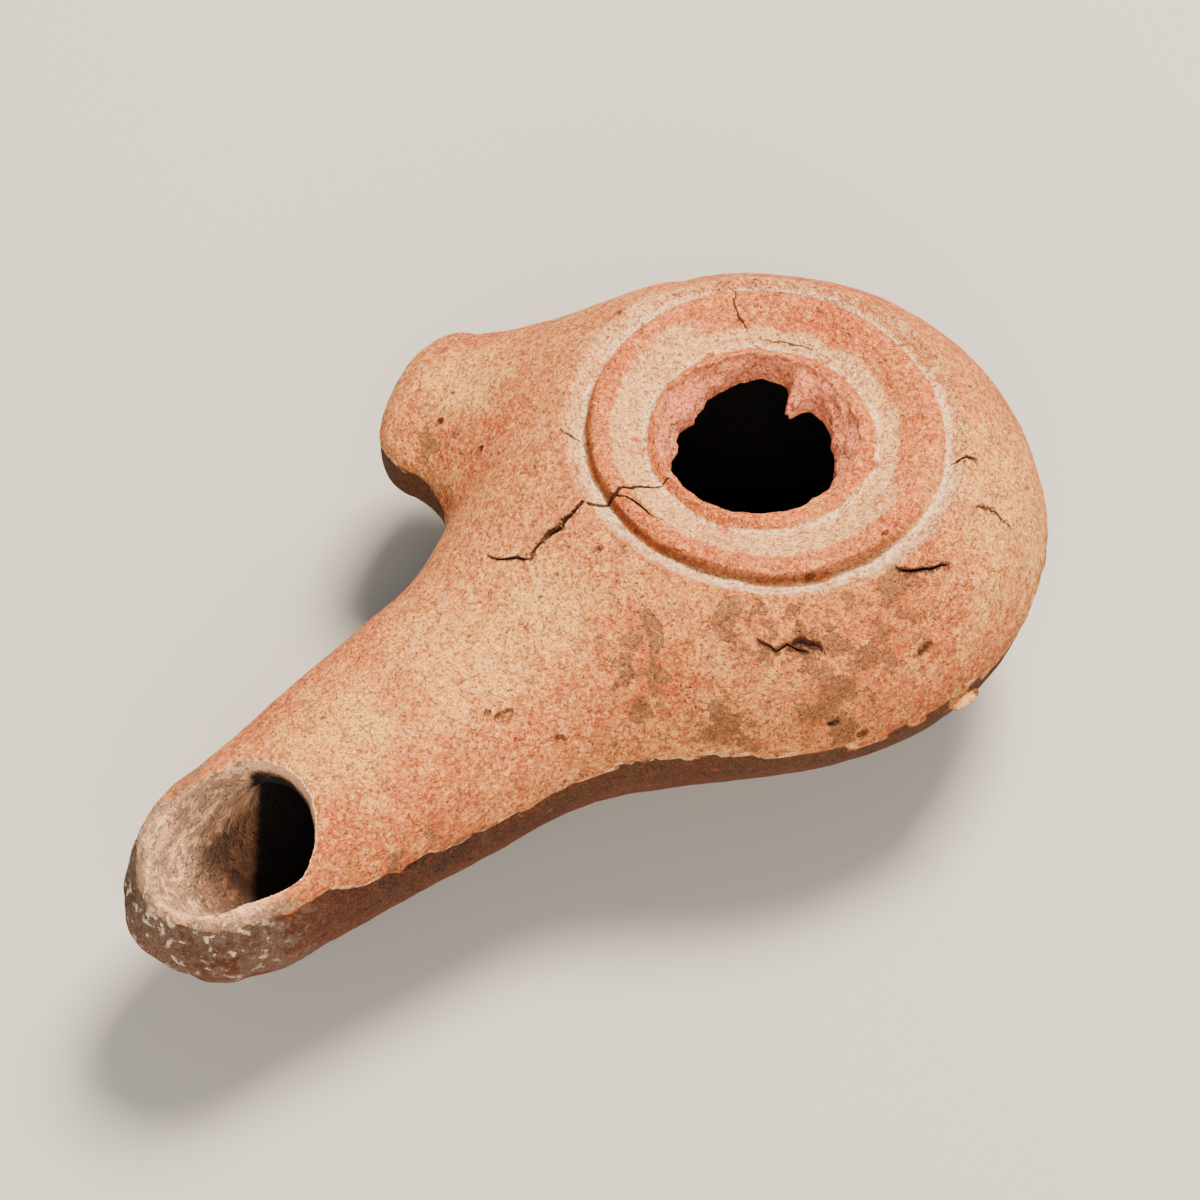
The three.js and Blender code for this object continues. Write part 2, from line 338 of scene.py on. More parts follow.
@dataclass
class Lug:
    """The side lug, a flat tapering tongue that starts inside the body."""

    body: Body
    start_angle: float = radians(-70.6)
    start_inset: float = 10.5
    angle: float = radians(-60.4)
    length: float = 16.7
    end_cap: float = 5.9
    root: Section = field(default_factory=lambda: Section(15.2, 11.1, 11.1, 1.7))
    tip: Section = field(default_factory=lambda: Section(9.5, 5.4, 5.4, -0.8))
    power: float = 2.2
    blend: float = 5.9
    sink: float = 0.35

    @property
    def start(self) -> Array:
        """Where the middle line starts.

        Returns:
            The point, in millimetres.
        """
        radius = self.body.radius - self.start_inset
        height = self.body.widest_height + self.root.rise
        return np.array([radius * np.cos(self.start_angle), radius * np.sin(self.start_angle), height])

    @property
    def direction(self) -> Array:
        """Level direction of the middle line."""
        return np.array([np.cos(self.angle), np.sin(self.angle), 0.0])

    def distance(self, points: Array) -> Array:
        """Gives the rough distance from the lug.

        Formula: a superellipsoid section carried along the middle line, and tapering on its way.

        Args:
            points: Points in millimetres, shape (..., 3).

        Returns:
            Distances, negative inside.
        """
        local = points - self.start
        along = local @ self.direction
        across = local @ np.array([-self.direction[1], self.direction[0], 0.0])
        share = np.clip(along / self.length, 0.0, 1.0)
        half_width = self.root.half_width * (1.0 - share) + self.tip.half_width * share
        half_height = self.root.above * (1.0 - share) + self.tip.above * share
        rise = self.root.rise * (1.0 - share) + self.tip.rise * share
        beyond = np.maximum(along - self.length, 0.0) + np.maximum(-along, 0.0)
        offsets = (across, points[..., 2] - self.body.widest_height - rise, beyond)
        return superellipsoid(offsets, (half_width, half_height, self.end_cap), self.power)


@dataclass(frozen=True)
class Fan:
    """Rows of a ray grid: in the opening fan, along the line and in the closing fan."""

    around: int
    opening: int
    travel: int
    closing: int


HALVINGS = 30


def ray_surface(distance: Distance, start: Array, end: Array, fan: Fan, reach: float = 90.0) -> Array:
    """Finds a closed surface by rays that fan out from a line inside it.

    Formula: each row stands at a place on the line and tilts from backwards, through square to the
    line, to forwards, each column turns around the line, and halving finds where the distance is nil.

    Args:
        distance: Distance function, negative inside.
        start: First point of the line.
        end: Last point of the line.
        fan: Counts of rows and columns.
        reach: Length of ray that is always past the surface.

    Returns:
        Points, shape (rows, columns, 3), with a pole at each end.
    """
    rows = np.arange(fan.opening + fan.travel + fan.closing + 1, dtype=float)
    opening = np.clip(rows / fan.opening, 0.0, 1.0)
    travel = np.clip((rows - fan.opening) / fan.travel, 0.0, 1.0)
    closing = np.clip((rows - fan.opening - fan.travel) / fan.closing, 0.0, 1.0)
    tilt = (opening + closing) * np.pi / 2.0
    around = full_turn(fan.around)
    forward = np.array([end[0] - start[0], end[1] - start[1], 0.0])
    forward /= np.linalg.norm(forward)
    up = np.array([0.0, 0.0, 1.0])
    ring = np.cos(around)[:, None] * np.cross(up, forward) + np.sin(around)[:, None] * up
    steps = -np.cos(tilt)[:, None, None] * forward + np.sin(tilt)[:, None, None] * ring[None]
    origins = (start + travel[:, None] * (end - start))[:, None, :] * np.ones((1, fan.around, 1))
    inside = np.zeros(steps.shape[:2])
    outside = np.full(steps.shape[:2], reach)
    for _ in range(HALVINGS):
        middle = (inside + outside) / 2.0
        within = distance(origins + middle[..., None] * steps) < 0.0
        inside = np.where(within, middle, inside)
        outside = np.where(within, outside, middle)
    return origins + inside[..., None] * steps


def outward(points: Array, distance: Distance, step: float = 0.05) -> Array:
    """Gives the directions in which a distance grows fastest.

    Formula: the differences of the distance along each axis, brought to a length of one.

    Args:
        points: Points in millimetres, shape (..., 3).
        distance: Distance function.
        step: How far to each side it is read.

    Returns:
        The directions, shape (..., 3).
    """
    shifts = np.eye(3) * step
    slope = np.stack([distance(points + shift) - distance(points - shift) for shift in shifts], axis=-1)
    return slope / np.maximum(np.linalg.norm(slope, axis=-1, keepdims=True), 1e-9)


# Meshes


def closed_shell(grid: Array) -> tuple[Array, list[list[int]]]:
    """Closes a grid whose first and last rows are poles.

    Args:
        grid: Points in millimetres, shape (rows, columns, 3).

    Returns:
        The points and the faces, which point out.
    """
    rows, columns = grid.shape[:2]
    poles = np.stack([grid[0].mean(axis=0), grid[-1].mean(axis=0)])
    body = grid[1:-1].reshape(-1, 3)
    points = np.concatenate([body, poles])
    index = np.arange((rows - 2) * columns).reshape(rows - 2, columns)
    turned = np.roll(index, -1, axis=1)
    quads = np.stack([index[:-1], turned[:-1], turned[1:], index[1:]], axis=-1).reshape(-1, 4)
    first, last = len(body), len(body) + 1
    opening = np.stack([np.full(columns, first), turned[0], index[0]], axis=-1)
    closing = np.stack([np.full(columns, last), index[-1], turned[-1]], axis=-1)
    faces = quads.tolist() + opening.tolist() + closing.tolist()
    around = points - points.mean(axis=0)
    a, b, c = around[quads[:, 0]], around[quads[:, 1]], around[quads[:, 2]]
    if np.einsum("ij,ij->i", a, np.cross(b, c)).sum() < 0.0:
        faces = [face[::-1] for face in faces]
    return points, faces


def closed_mesh(name: str, cut: Cut, *grids: Array) -> bpy.types.Object:
    """Makes one mesh object from grids whose first and last rows are poles.

    Args:
        name: Name of the object.
        cut: What its faces are marked as.
        grids: One grid for each closed shell, in millimetres, shape (rows, columns, 3).

    Returns:
        The object, with its faces pointing out.
    """
    points: list[list[float]] = []
    faces: list[list[int]] = []
    for grid in grids:
        shell_points, shell_faces = closed_shell(grid)
        faces += [[corner + len(points) for corner in face] for face in shell_faces]
        points += (shell_points * MM).tolist()
    mesh = bpy.data.meshes.new(name)
    mesh.from_pydata(points, [], faces)
    marks = mesh.attributes.new("cut", "INT", "FACE")
    marks.data.foreach_set("value", np.full(len(faces), cut.value, dtype=np.int32))
    piece = bpy.data.objects.new(name, mesh)
    bpy.context.scene.collection.objects.link(piece)
    return piece


def pebble(centre: Array, sizes: Iterable[float], seed: int, rows: int = 8, columns: int = 10) -> Array:
    """Makes the grid of a small uneven ball.

    Args:
        centre: Its middle in millimetres.
        sizes: Its half size along each axis.
        seed: Picks its unevenness.
        rows: Rows from pole to pole.
        columns: Columns around it.

    Returns:
        Points, shape (rows, columns, 3).
    """
    rise = np.linspace(0.0, np.pi, rows)[:, None]
    angle = full_turn(columns)
    x, y, z = np.sin(rise) * np.cos(angle), np.sin(rise) * np.sin(angle), -np.cos(rise) + 0.0 * angle
    ball = np.stack([x, y, z], axis=-1)
    uneven = 1.0 + 0.5 * noise(ball * 0.8 + centre, 0.9, seed)
    grid = centre + ball * np.array(list(sizes)) * uneven[..., None]
    grid[[0, -1]] = grid[[0, -1]].mean(axis=1, keepdims=True)
    return grid


def combine(target: bpy.types.Object, other: bpy.types.Object, operation: str) -> None:
    """Joins another closed mesh to a target, or cuts it out, and removes the other.

    Args:
        target: Object that is changed.
        other: Object that is joined or cut out.
        operation: UNION or DIFFERENCE.
    """
    modifier = target.modifiers.new("boolean", "BOOLEAN")
    modifier.operation = operation
    modifier.solver = "MANIFOLD"
    modifier.object = other
    graph = bpy.context.evaluated_depsgraph_get()
    result = bpy.data.meshes.new_from_object(target.evaluated_get(graph))
    target.modifiers.clear()
    old = target.data
    target.data = result
    bpy.data.meshes.remove(old)
    bpy.data.objects.remove(other)


def mesh_points(piece: bpy.types.Object) -> Array:
    """Vertices of a piece in millimetres, shape (count, 3).

    Args:
        piece: The piece.

    Returns:
        Its points.
    """
    values = np.empty(len(piece.data.vertices) * 3)
    piece.data.vertices.foreach_get("co", values)
    return values.reshape(-1, 3) / MM


def cut_share(piece: bpy.types.Object, cut: Cut) -> Array:
    """Gives 1 at each point that touches a face made by the cut, and 0 elsewhere.

    Args:
        piece: Piece whose faces are marked.
        cut: The cut that is looked for.

    Returns:
        The shares, shape (count).
    """
    mesh = piece.data
    marks = np.empty(len(mesh.polygons), dtype=np.int32)
    mesh.attributes["cut"].data.foreach_get("value", marks)
    corners = np.empty(len(mesh.polygons), dtype=np.int32)
    mesh.polygons.foreach_get("loop_total", corners)
    points = np.empty(len(mesh.loops), dtype=np.int32)
    mesh.loops.foreach_get("vertex_index", points)
    made = np.repeat(marks == cut.value, corners)
    share = np.zeros(len(mesh.vertices))
    share[points[made]] = 1.0
    return share


def soften(piece: bpy.types.Object, weights: Array, rounds: int) -> None:
    """Rounds worn edges by moving each point towards the middle of its neighbours.

    Args:
        piece: Piece that is changed.
        weights: How strongly each point moves, from 0 to 1.
        rounds: How often the points move.
    """
    points = mesh_points(piece)
    ends = np.empty(len(piece.data.edges) * 2, dtype=np.int32)
    piece.data.edges.foreach_get("vertices", ends)
    first, second = ends.reshape(-1, 2).T
    here = np.concatenate([first, second])
    there = np.concatenate([second, first])
    count = np.maximum(np.bincount(here, minlength=len(points)), 1)[:, None]
    for _ in range(rounds):
        sums = [np.bincount(here, column[there], minlength=len(points)) for column in points.T]
        points += 0.5 * weights[:, None] * (np.stack(sums, axis=-1) / count - points)
    piece.data.vertices.foreach_set("co", (points * MM).ravel())
    piece.data.update()


def store_mask(piece: bpy.types.Object, mask: Mask, values: Array) -> None:
    """Stores one painted share on the points of a piece."""
    layer = piece.data.attributes.new(mask.value, "FLOAT", "POINT")
    layer.data.foreach_set("value", np.clip(values, 0.0, 1.0).astype(np.float32))


# Cutters of the lamp, all in millimetres


@dataclass
class RingedTop:
    """Turned rings of the sunk top: outer ones in from the shoulder, inner ones out from the hole."""

    body: Body
    hole_radius: float = 9.0
    shoulder_width: float = 8.4
    outer: tuple[tuple[float, float], ...] = ((0.0, 0.0), (1.5, 1.0), (2.1, 0.15), (3.1, -0.2), (4.2, 0.2))
    inner: tuple[tuple[float, float], ...] = ((3.6, 1.15), (1.9, 1.7), (0.9, 1.0), (-0.2, 1.45))
    outer_shift: tuple[float, float] = (-0.5, -0.5)
    inner_shift: tuple[float, float] = (-0.1, -1.1)
    ovality: float = 0.45
    oval_angle: float = radians(68)
    core_radius: float = 3.0
    clearance: float = 1.25

    @property
    def edge_radius(self) -> float:
        """Radius of the shoulder's edge."""
        return self.body.radius - self.shoulder_width

    @property
    def edge_height(self) -> float:
        """Height of the shoulder's edge."""
        return self.body.crown_height(self.edge_radius)

    def rings(self) -> Array:
        """Rings as radius and height, from the hole out to the shoulder, shape (count, 2).

        Returns:
            The rings.
        """
        inner = [(self.hole_radius + out, self.edge_height - down) for out, down in self.inner]
        outer = [(self.edge_radius - into, self.edge_height - down) for into, down in self.outer]
        return np.array(inner[::-1] + outer[::-1])

    def profile(self, count: int) -> Array:
        """Carries a smooth curve through the rings.

        Formula: cubic pieces between rings whose end slopes are half the step between the neighbours.

        Args:
            count: Number of points.

        Returns:
            Radius and height, shape (count, 2).
        """
        rings = self.rings()
        padded = np.concatenate([rings[:1], rings, rings[-1:]])
        place = np.linspace(0.0, len(rings) - 1.0001, count)
        cell = place.astype(int)
        t = (place - cell)[:, None]
        p0, p1, p2, p3 = (padded[cell + k] for k in range(4))
        slope1, slope2 = (p2 - p0) / 2.0, (p3 - p1) / 2.0
        start = (2 * t**3 - 3 * t**2 + 1) * p1 + (t**3 - 2 * t**2 + t) * slope1
        return start + (-2 * t**3 + 3 * t**2) * p2 + (t**3 - t**2) * slope2

    def share(self, radius: Array) -> Array:
        """How far out a radius lies between the hole's edge and the shoulder's edge, from 0 to 1."""
        inner = self.rings()[0, 0]
        return np.clip((radius - inner) / (self.edge_radius - inner), 0.0, 1.0)

    def ring_radius(self, points: Array) -> Array:
        """Radius that each point has among the rings, with their shift and oval taken away.

        Args:
            points: Points in millimetres, shape (..., 3).

        Returns:
            The radii in millimetres.
        """
        share = self.share(np.hypot(points[..., 0], points[..., 1]))
        x = points[..., 0] - self.inner_shift[0] * (1 - share) - self.outer_shift[0] * share
        y = points[..., 1] - self.inner_shift[1] * (1 - share) - self.outer_shift[1] * share
        oval = self.ovality * share * np.cos(2.0 * (np.arctan2(y, x) - self.oval_angle))
        return np.hypot(x, y) - oval

    def cutter(self, around: int = 320, count: int = 66) -> bpy.types.Object:
        """Makes the cutter whose under side is the ringed top.

        Args:
            around: Columns around the axis.
            count: Rows of the ring profile.

        Returns:
            The closed cutter.
        """
        curve = self.profile(count)
        clear = curve[-1] + self.clearance
        above = self.body.widest_height + 2.0 * self.body.crown_rise
        core = np.array([[0.0, curve[0, 1]], [self.core_radius, curve[0, 1]]])
        rows = np.concatenate([core, curve, [clear], [[clear[0], above]], [[0.0, above]]])
        angle = full_turn(around)
        share = self.share(rows[:, 0])[:, None]
        oval = self.ovality * share * np.cos(2.0 * (angle - self.oval_angle))
        radius = np.where(rows[:, :1] > 0.0, rows[:, :1] + oval, 0.0)
        x = self.inner_shift[0] * (1 - share) + self.outer_shift[0] * share + radius * np.cos(angle)
        y = self.inner_shift[1] * (1 - share) + self.outer_shift[1] * share + radius * np.sin(angle)
        grid = np.stack([x, y, rows[:, 1:] * np.ones_like(x)], axis=-1)
        worn = layered_noise(grid, (0.09, 4.0, 11), (0.05, 1.3, 12), (0.12, 11.0, 13))
        ringed = (rows[:, 0] > 0.0) & (rows[:, 1] < above)
        grid[..., 2] += np.where(ringed[:, None], worn, 0.0)
        return closed_mesh("ring_cutter", Cut.RINGS, grid)


@dataclass(frozen=True)
class Bite:
    """A place where the broken edge runs further out, or further in where the size is negative."""

    angle: float
    size: float
    width: float


@dataclass
class FillHole:
    """The broken fill hole, narrower below than above."""

    top: RingedTop
    x: float = -0.2
    y: float = -1.5
    top_radius: float = 9.3
    bottom_radius: float = 7.9
    rough_radius: float = 8.5
    plate: float = 3.2
    overrun: float = 6.0
    flare: float = 1.5
    bite_fade: float = 1.3
    bites: tuple[Bite, ...] = (
        Bite(-159.0, -2.2, 4.0),
        Bite(-166.0, -2.4, 4.5),
        Bite(-178.0, -0.4, 8.0),
        Bite(-138.0, 1.2, 20.0),
        Bite(-75.0, -0.9, 12.0),
        Bite(-45.0, -0.3, 10.0),
        Bite(45.0, -0.5, 12.0),
        Bite(85.0, 0.3, 14.0),
        Bite(142.0, -0.8, 24.0),
    )

    def centred(self, points: Array) -> tuple[Array, Array]:
        """Radius and angle in degrees of points about the hole's axis."""
        x, y = points[..., 0] - self.x, points[..., 1] - self.y
        return np.hypot(x, y), np.degrees(np.arctan2(y, x))

    def edge(self, angle: Array) -> Array:
        """Change of the radius at each angle in degrees, as the sum of bell-shaped bites.

        Args:
            angle: Angles in degrees.

        Returns:
            The changes in millimetres.
        """
        total = np.zeros_like(angle)
        for bite in self.bites:
            turn = (angle - bite.angle + 180.0) % 360.0 - 180.0
            total += bite.size * np.exp(-((turn / bite.width) ** 2))
        return total

    def cutter(self, around: int = 280, count: int = 28) -> bpy.types.Object:
        """Makes the cutter, a cone whose radius changes with the bites and with rough noise.

        Args:
            around: Columns around the axis.
            count: Rows of the wall.

        Returns:
            The closed cutter.
        """
        low = self.top.rings()[:, 1].min() - self.plate
        high = self.top.rings()[0, 1]
        below, above = low - self.overrun, high + self.overrun
        heights = np.concatenate([[below] * 2, np.linspace(low - 0.5, high + 0.3, count), [above] * 2])
        share = np.clip((heights - low) / (high - low), 0.0, 1.0) ** self.flare
        radii = self.bottom_radius + (self.top_radius - self.bottom_radius) * share
        radii[[0, -1]] = 0.0
        angle = full_turn(around)
        bites = self.edge(np.degrees(angle))[None, :] * (1.0 - share[:, None]) ** self.bite_fade
        tube = (np.cos(angle) * self.rough_radius, np.sin(angle) * self.rough_radius, heights[:, None])
        flat = np.stack(np.broadcast_arrays(*tube), axis=-1)
        rough = layered_noise(flat, (0.30, 2.6, 21), (0.26, 1.2, 22), (0.14, 0.55, 23))
        radius = np.where(radii[:, None] > 0.0, radii[:, None] + bites + rough, 0.0)
        x, y = self.x + radius * np.cos(angle), self.y + radius * np.sin(angle)
        grid = np.stack([x, y, heights[:, None] + 0.0 * radius], axis=-1)
        return closed_mesh("fill_hole_cutter", Cut.FILL_HOLE, grid)


@dataclass
class WickHole:
    """The wick hole and the worn scoop in front of it, an egg that is longer towards the tip."""

    nozzle: Nozzle
    wall: float = 4.0
    past: float = 1.8
    side: float = 1.0
    drop: float = 0.1
    to_body: float = 5.8
    side_rim: float = 3.5
    tip_rim: float = 0.85
    floor_step: float = 0.45
    plain_power: float = 2.2
    ramp_power: float = 1.4
    channel_gap: float = 0.2
    join_back: float = 9.5
    join_blend: float = 3.0

    @property
    def centre(self) -> Array:
        """Middle of the egg, level with the nozzle's top."""
        tip = self.nozzle.middle(self.nozzle.length)
        return tip + np.array([self.past, self.side, self.nozzle.tip.above - self.drop])

    def half_sizes(self, along: Array) -> tuple[Array, float, float]:
        """Half sizes of the egg along, across and down.

        Args:
            along: How far points lie from the middle towards the tip.

        Returns:
            The three half sizes.
        """
        to_tip = self.nozzle.end_cap - self.past - self.tip_rim
        depth = self.nozzle.tip.above + self.nozzle.tip.below - self.drop - self.wall - self.floor_step
        return np.where(along > 0.0, to_tip, self.to_body), self.nozzle.tip.half_width - self.side_rim, depth

    def egg_distance(self, points: Array) -> Array:
        """Rough distance from the egg, whose floor is nearly a straight ramp towards the tip.

        Formula: each offset is divided by its half size, along and down are joined by a power mean
        whose power falls towards the tip, and the result is joined with across as a plain length.

        Args:
            points: Points in millimetres, shape (..., 3).

        Returns:
            Distances, negative inside.
        """
        local = points - self.centre
        sizes = self.half_sizes(local[..., 0])
        along, across, down = (np.abs(local[..., k]) / size for k, size in enumerate(sizes))
        ramped = smooth_step(local[..., 0], -2.0, 5.0)
        power = self.plain_power - (self.plain_power - self.ramp_power) * ramped
        floor = (along**power + down**power) ** (1.0 / power)
        reach = np.maximum(np.hypot(floor, across), LEAST_REACH)
        return np.linalg.norm(local, axis=-1) * (1.0 - 1.0 / reach)

    def distance(self, points: Array) -> Array:
        """Rough distance from the egg flowing into the end of the nozzle's channel.

        Args:
            points: Points in millimetres, shape (..., 3).

        Returns:
            Distances, negative inside.
        """
        channel = self.nozzle.channel_distance(points, self.wall + self.channel_gap)
        near_end = np.maximum(channel, self.nozzle.length - self.join_back - points[..., 0])
        return smooth_least(self.egg_distance(points), near_end, self.join_blend)

    def cutter(self) -> bpy.types.Object:
        """Makes the cutter by rays from a short line under the hole, with sooty unevenness.

        Returns:
            The closed cutter.
        """
        back = self.centre + np.array([-3.3, -0.8, -9.6])
        front = self.centre + np.array([0.6, 0.0, -9.4])
        grid = ray_surface(self.distance, back, front, Fan(150, 42, 15, 72), reach=40.0)
        rough = layered_noise(grid, (0.20, 5.0, 31), (0.14, 1.9, 32), (0.09, 0.9, 33))
        grid += outward(grid, self.distance) * rough[..., None]
        return closed_mesh("wick_hole_cutter", Cut.SCOOP, grid)


@dataclass(frozen=True)
class Crack:
    """A jagged crack through points on top of the lamp, with its greatest width and its depth."""

    path: tuple[tuple[float, float, float], ...]
    width: float
    depth: float
    seed: int
    lift: float = 1.2

    def cutter(self, distance: Distance, steps: int = 60) -> bpy.types.Object:
        """Makes the cutter: a thin blade with a diamond section that tapers to both ends.

        Args:
            distance: Distance function of the skin that the blade goes down into.
            steps: Rows along the path.

        Returns:
            The closed blade.
        """
        path = np.array(self.path)
        lengths = np.concatenate([[0.0], np.cumsum(np.linalg.norm(np.diff(path, axis=0), axis=1))])
        place = np.linspace(0.0, lengths[-1], steps)
        line = np.stack([np.interp(place, lengths, path[:, k]) for k in range(3)], axis=-1)
        ahead = np.gradient(line, axis=0)
        up = outward(line, distance)
        across = np.cross(up, ahead)
        across /= np.linalg.norm(across, axis=1, keepdims=True)
        jag = layered_noise(line, (0.22, 0.9, self.seed), (0.35, 2.4, self.seed + 1))
        line = line + across * jag[:, None]
        taper = np.sin(np.linspace(0.0, np.pi, steps)) ** 0.5
        uneven = 0.75 + 0.45 * noise(line, 1.6, self.seed + 2)
        half = (self.width / 2.0 * taper * uneven)[:, None]
        top, bottom = line + up * self.lift, line - up * self.depth * taper[:, None]
        corners = [line + across * half, top, line - across * half, bottom]
        return closed_mesh("crack_cutter", Cut.CRACK, np.stack(corners, axis=1))


@dataclass(frozen=True)
class Pit:
    """A small pit at a point on the skin, with its radius."""

    place: tuple[float, float, float]
    radius: float


@dataclass(frozen=True)
class Patch:
    """A soft round patch of wear, with its middle and half size."""

    place: tuple[float, float, float]
    size: float

    def share(self, points: Array) -> Array:
        """How much of the patch lies at each point, 1 at its middle and falling off like a bell."""
        return np.exp(-((np.linalg.norm(points - np.array(self.place), axis=-1) / self.size) ** 2))


def patches(points: Array, places: Iterable[Patch]) -> Array:
    """The strongest share of several patches at each point."""
    return np.max([patch.share(points) for patch in places], axis=0)


# The lamp


@dataclass(frozen=True)
class RingBands:
    """Where the colours of the ringed top lie, as radii among the rings."""

    inner_crest: Band = Band(9.2, 9.6, 10.3, 10.7)
    inner_groove: Band = Band(10.55, 10.85, 11.05, 11.35)
    slope: Band = Band(10.6, 11.4, 13.9, 14.9)
    crest: Band = Band(14.2, 15.0, 16.3, 16.9)
    rise: Band = Band(16.1, 16.6, 17.0, 17.3)
    face: Band = Band(16.6, 17.1, 18.4, 19.4)
    groove: Band = Band(16.85, 17.15, 17.45, 17.75)
    lip: Band = Band(17.2, 17.5, 18.3, 19.0)


@dataclass
class Lamp:
    """The whole lamp, one piece of fired clay."""

    wall: float = 4.0
    body: Body = field(default_factory=Body)
    foot_half_length: float = 18.4
    foot_half_width: float = 14.4
    foot_place: tuple[float, float] = (3.4, -1.2)
    foot_angle: float = radians(-5)
    foot_height: float = 5.0
    foot_edge: float = 0.6
    foot_draw: float = 0.35
    seam_rise: float = 1.1
    seam_rise_at_tip: float = 2.4
    seam_step: float = 0.34
    wick_rim: tuple[float, float] = (3.2, 0.8)
    least_wear: float = 0.12
    wick_wear_rounds: int = 34
    fill_rim: tuple[float, float] = (1.2, 0.3)
    fill_wear: float = 0.6
    fill_wear_rounds: int = 6
    cracks: tuple[Crack, ...] = (
        Crack(((9.4, -2.6, 29.9), (12.6, -3.5, 30.4), (14.6, -4.0, 31.2)), 0.5, 1.2, 41),
        Crack(((14.4, -3.7, 31.3), (16.2, -4.2, 31.0), (18.8, -4.0, 32.6), (20.3, -3.9, 32.0)), 0.8, 2.2, 44),
        Crack(((19.3, -4.2, 32.4), (21.6, -3.9, 31.4), (23.1, -4.2, 30.7), (25.2, -3.9, 29.8)), 0.7, 2.4, 47),
        Crack(((27.0, -7.8, 28.1), (26.3, -6.2, 28.9), (24.9, -3.9, 29.9)), 0.3, 0.8, 50),
        Crack(((1.6, 19.0, 31.0), (-0.1, 19.9, 30.3), (-1.6, 20.2, 29.9), (-3.6, 20.8, 29.3)), 0.5, 1.4, 53),
        Crack(((-10.9, 13.1, 30.6), (-11.9, 13.9, 31.2), (-12.9, 14.7, 30.7)), 0.32, 0.9, 56),
        Crack(((-9.5, 17.8, 30.0), (-10.9, 18.5, 28.9), (-12.4, 19.9, 26.6)), 0.16, 0.5, 59),
        Crack(((15.3, -4.6, 31.2), (14.6, -1.4, 31.2), (13.8, 1.8, 31.0)), 0.3, 0.8, 62),
        Crack(((14.1, -12.4, 31.3), (13.3, -11.4, 30.7), (12.8, -10.0, 30.5)), 0.2, 0.6, 65),
        Crack(((-9.9, -15.9, 30.7), (-7.6, -12.7, 30.6), (-7.4, -10.6, 29.9)), 0.12, 0.3, 68),
        Crack(((-7.4, -10.8, 29.9), (-10.0, -7.6, 29.8), (-12.0, -4.2, 29.9)), 0.16, 0.4, 71),
        Crack(((15.1, 15.7, 29.2), (14.3, 17.3, 28.4), (13.2, 17.4, 28.7), (12.0, 19.2, 27.9)), 0.6, 0.7, 74),
        Crack(((13.6, 18.0, 28.2), (12.2, 18.2, 28.5), (10.9, 19.9, 27.8)), 0.9, 0.45, 79),
        Crack(((12.9, 22.9, 21.8), (11.9, 23.3, 22.0)), 0.6, 0.6, 77),
    )
    pits: tuple[Pit, ...] = (
        Pit((20.9, 0.5, 32.0), 0.45),
        Pit((19.2, 2.4, 32.7), 0.4),
        Pit((7.9, 14.5, 30.6), 0.5),
        Pit((-0.3, 15.6, 31.4), 0.35),
        Pit((36.2, 5.4, 25.5), 0.75),
        Pit((37.3, 4.4, 25.9), 0.4),
        Pit((32.9, 9.2, 23.1), 0.4),
        Pit((0.9, -20.3, 30.9), 0.5),
        Pit((17.3, -26.6, 21.9), 0.5),
        Pit((18.2, -19.6, 25.0), 0.55),
        Pit((2.5, 24.3, 25.3), 0.62),
        Pit((10.4, 24.8, 19.6), 0.5),
        Pit((50.1, 9.1, 18.7), 0.7),
        Pit((59.6, -7.2, 21.8), 0.55),
        Pit((58.4, -7.3, 20.6), 0.45),
    )
    stray_pits: int = 70
    pit_seed: int = 7
    pit_depth_on_skin: float = 0.8
    lowest_pit: float = 8.0
    pit_spacing: float = 1.6
    least_pit: float = 0.13
    pit_spread: float = 0.2
    kept: Side = Side(radians(-175.0), 0.15, 0.5)
    # side of the top where shade is painted onto the ring rise
    shaded_side: Side = Side(radians(18.0), -0.1, 0.5)
    # side of the top whose ring lip gets a painted highlight
    lit_lip_side: Side = Side(radians(48.0), -0.1, 0.6)
    bands: RingBands = RingBands()
    flaked: tuple[Patch, ...] = (
        Patch((13.0, 18.2, 28.3), 3.4),
        Patch((8.6, 18.4, 29.6), 3.4),
        Patch((4.8, 21.4, 28.4), 4.4),
        Patch((15.6, 14.0, 30.0), 2.2),
        Patch((23.7, 7.9, 28.7), 2.6),
        Patch((25.1, 11.7, 25.4), 2.4),
        Patch((20.1, 18.0, 22.0), 3.0),
        Patch((12.0, 23.2, 22.2), 3.4),
        Patch((45.2, 9.4, 18.6), 3.0),
        Patch((50.6, 9.0, 18.6), 2.4),
        Patch((17.8, -26.0, 21.0), 3.0),
    )
    burr: tuple[float, float, float] = (-0.4, 27.2, 17.7)
    burr_size: tuple[float, float, float] = (1.5, 0.5, 0.2)
    # worn patches; those on the shoulder and the nozzle top also stand in for highlights
    rubbed: tuple[Patch, ...] = (
        Patch((27.5, 0.5, 29.2), 6.0),
        Patch((36.0, -1.0, 27.2), 6.5),
        Patch((-14.0, 19.0, 26.0), 9.0),
        Patch((12.0, -26.5, 23.0), 5.0),
        Patch((49.0, -2.0, 26.0), 6.0),
        Patch((-0.4, 27.4, 17.7), 1.8),
    )

    def __post_init__(self) -> None:
        """Builds the forms that hang on the body."""
        self.nozzle = Nozzle(self.body.widest_height)
        self.lug = Lug(self.body)
        self.top = RingedTop(self.body)
        self.fill_hole = FillHole(self.top)
        self.wick_hole = WickHole(self.nozzle, self.wall)

    def trunk_distance(self, points: Array) -> Array:
        """Distance from body and nozzle flowing into each other, flat where the foot is.

        Args:
            points: Points in millimetres, shape (..., 3).

        Returns:
            Distances, negative inside.
        """
        nozzle = self.nozzle
        tube = nozzle.distance(points, 0.0, nozzle.length, nozzle.end_cap, nozzle.power)
        flowing = smooth_least(self.body.distance(points), tube, nozzle.blend)
        return np.maximum(flowing, self.body.standing - points[..., 2])

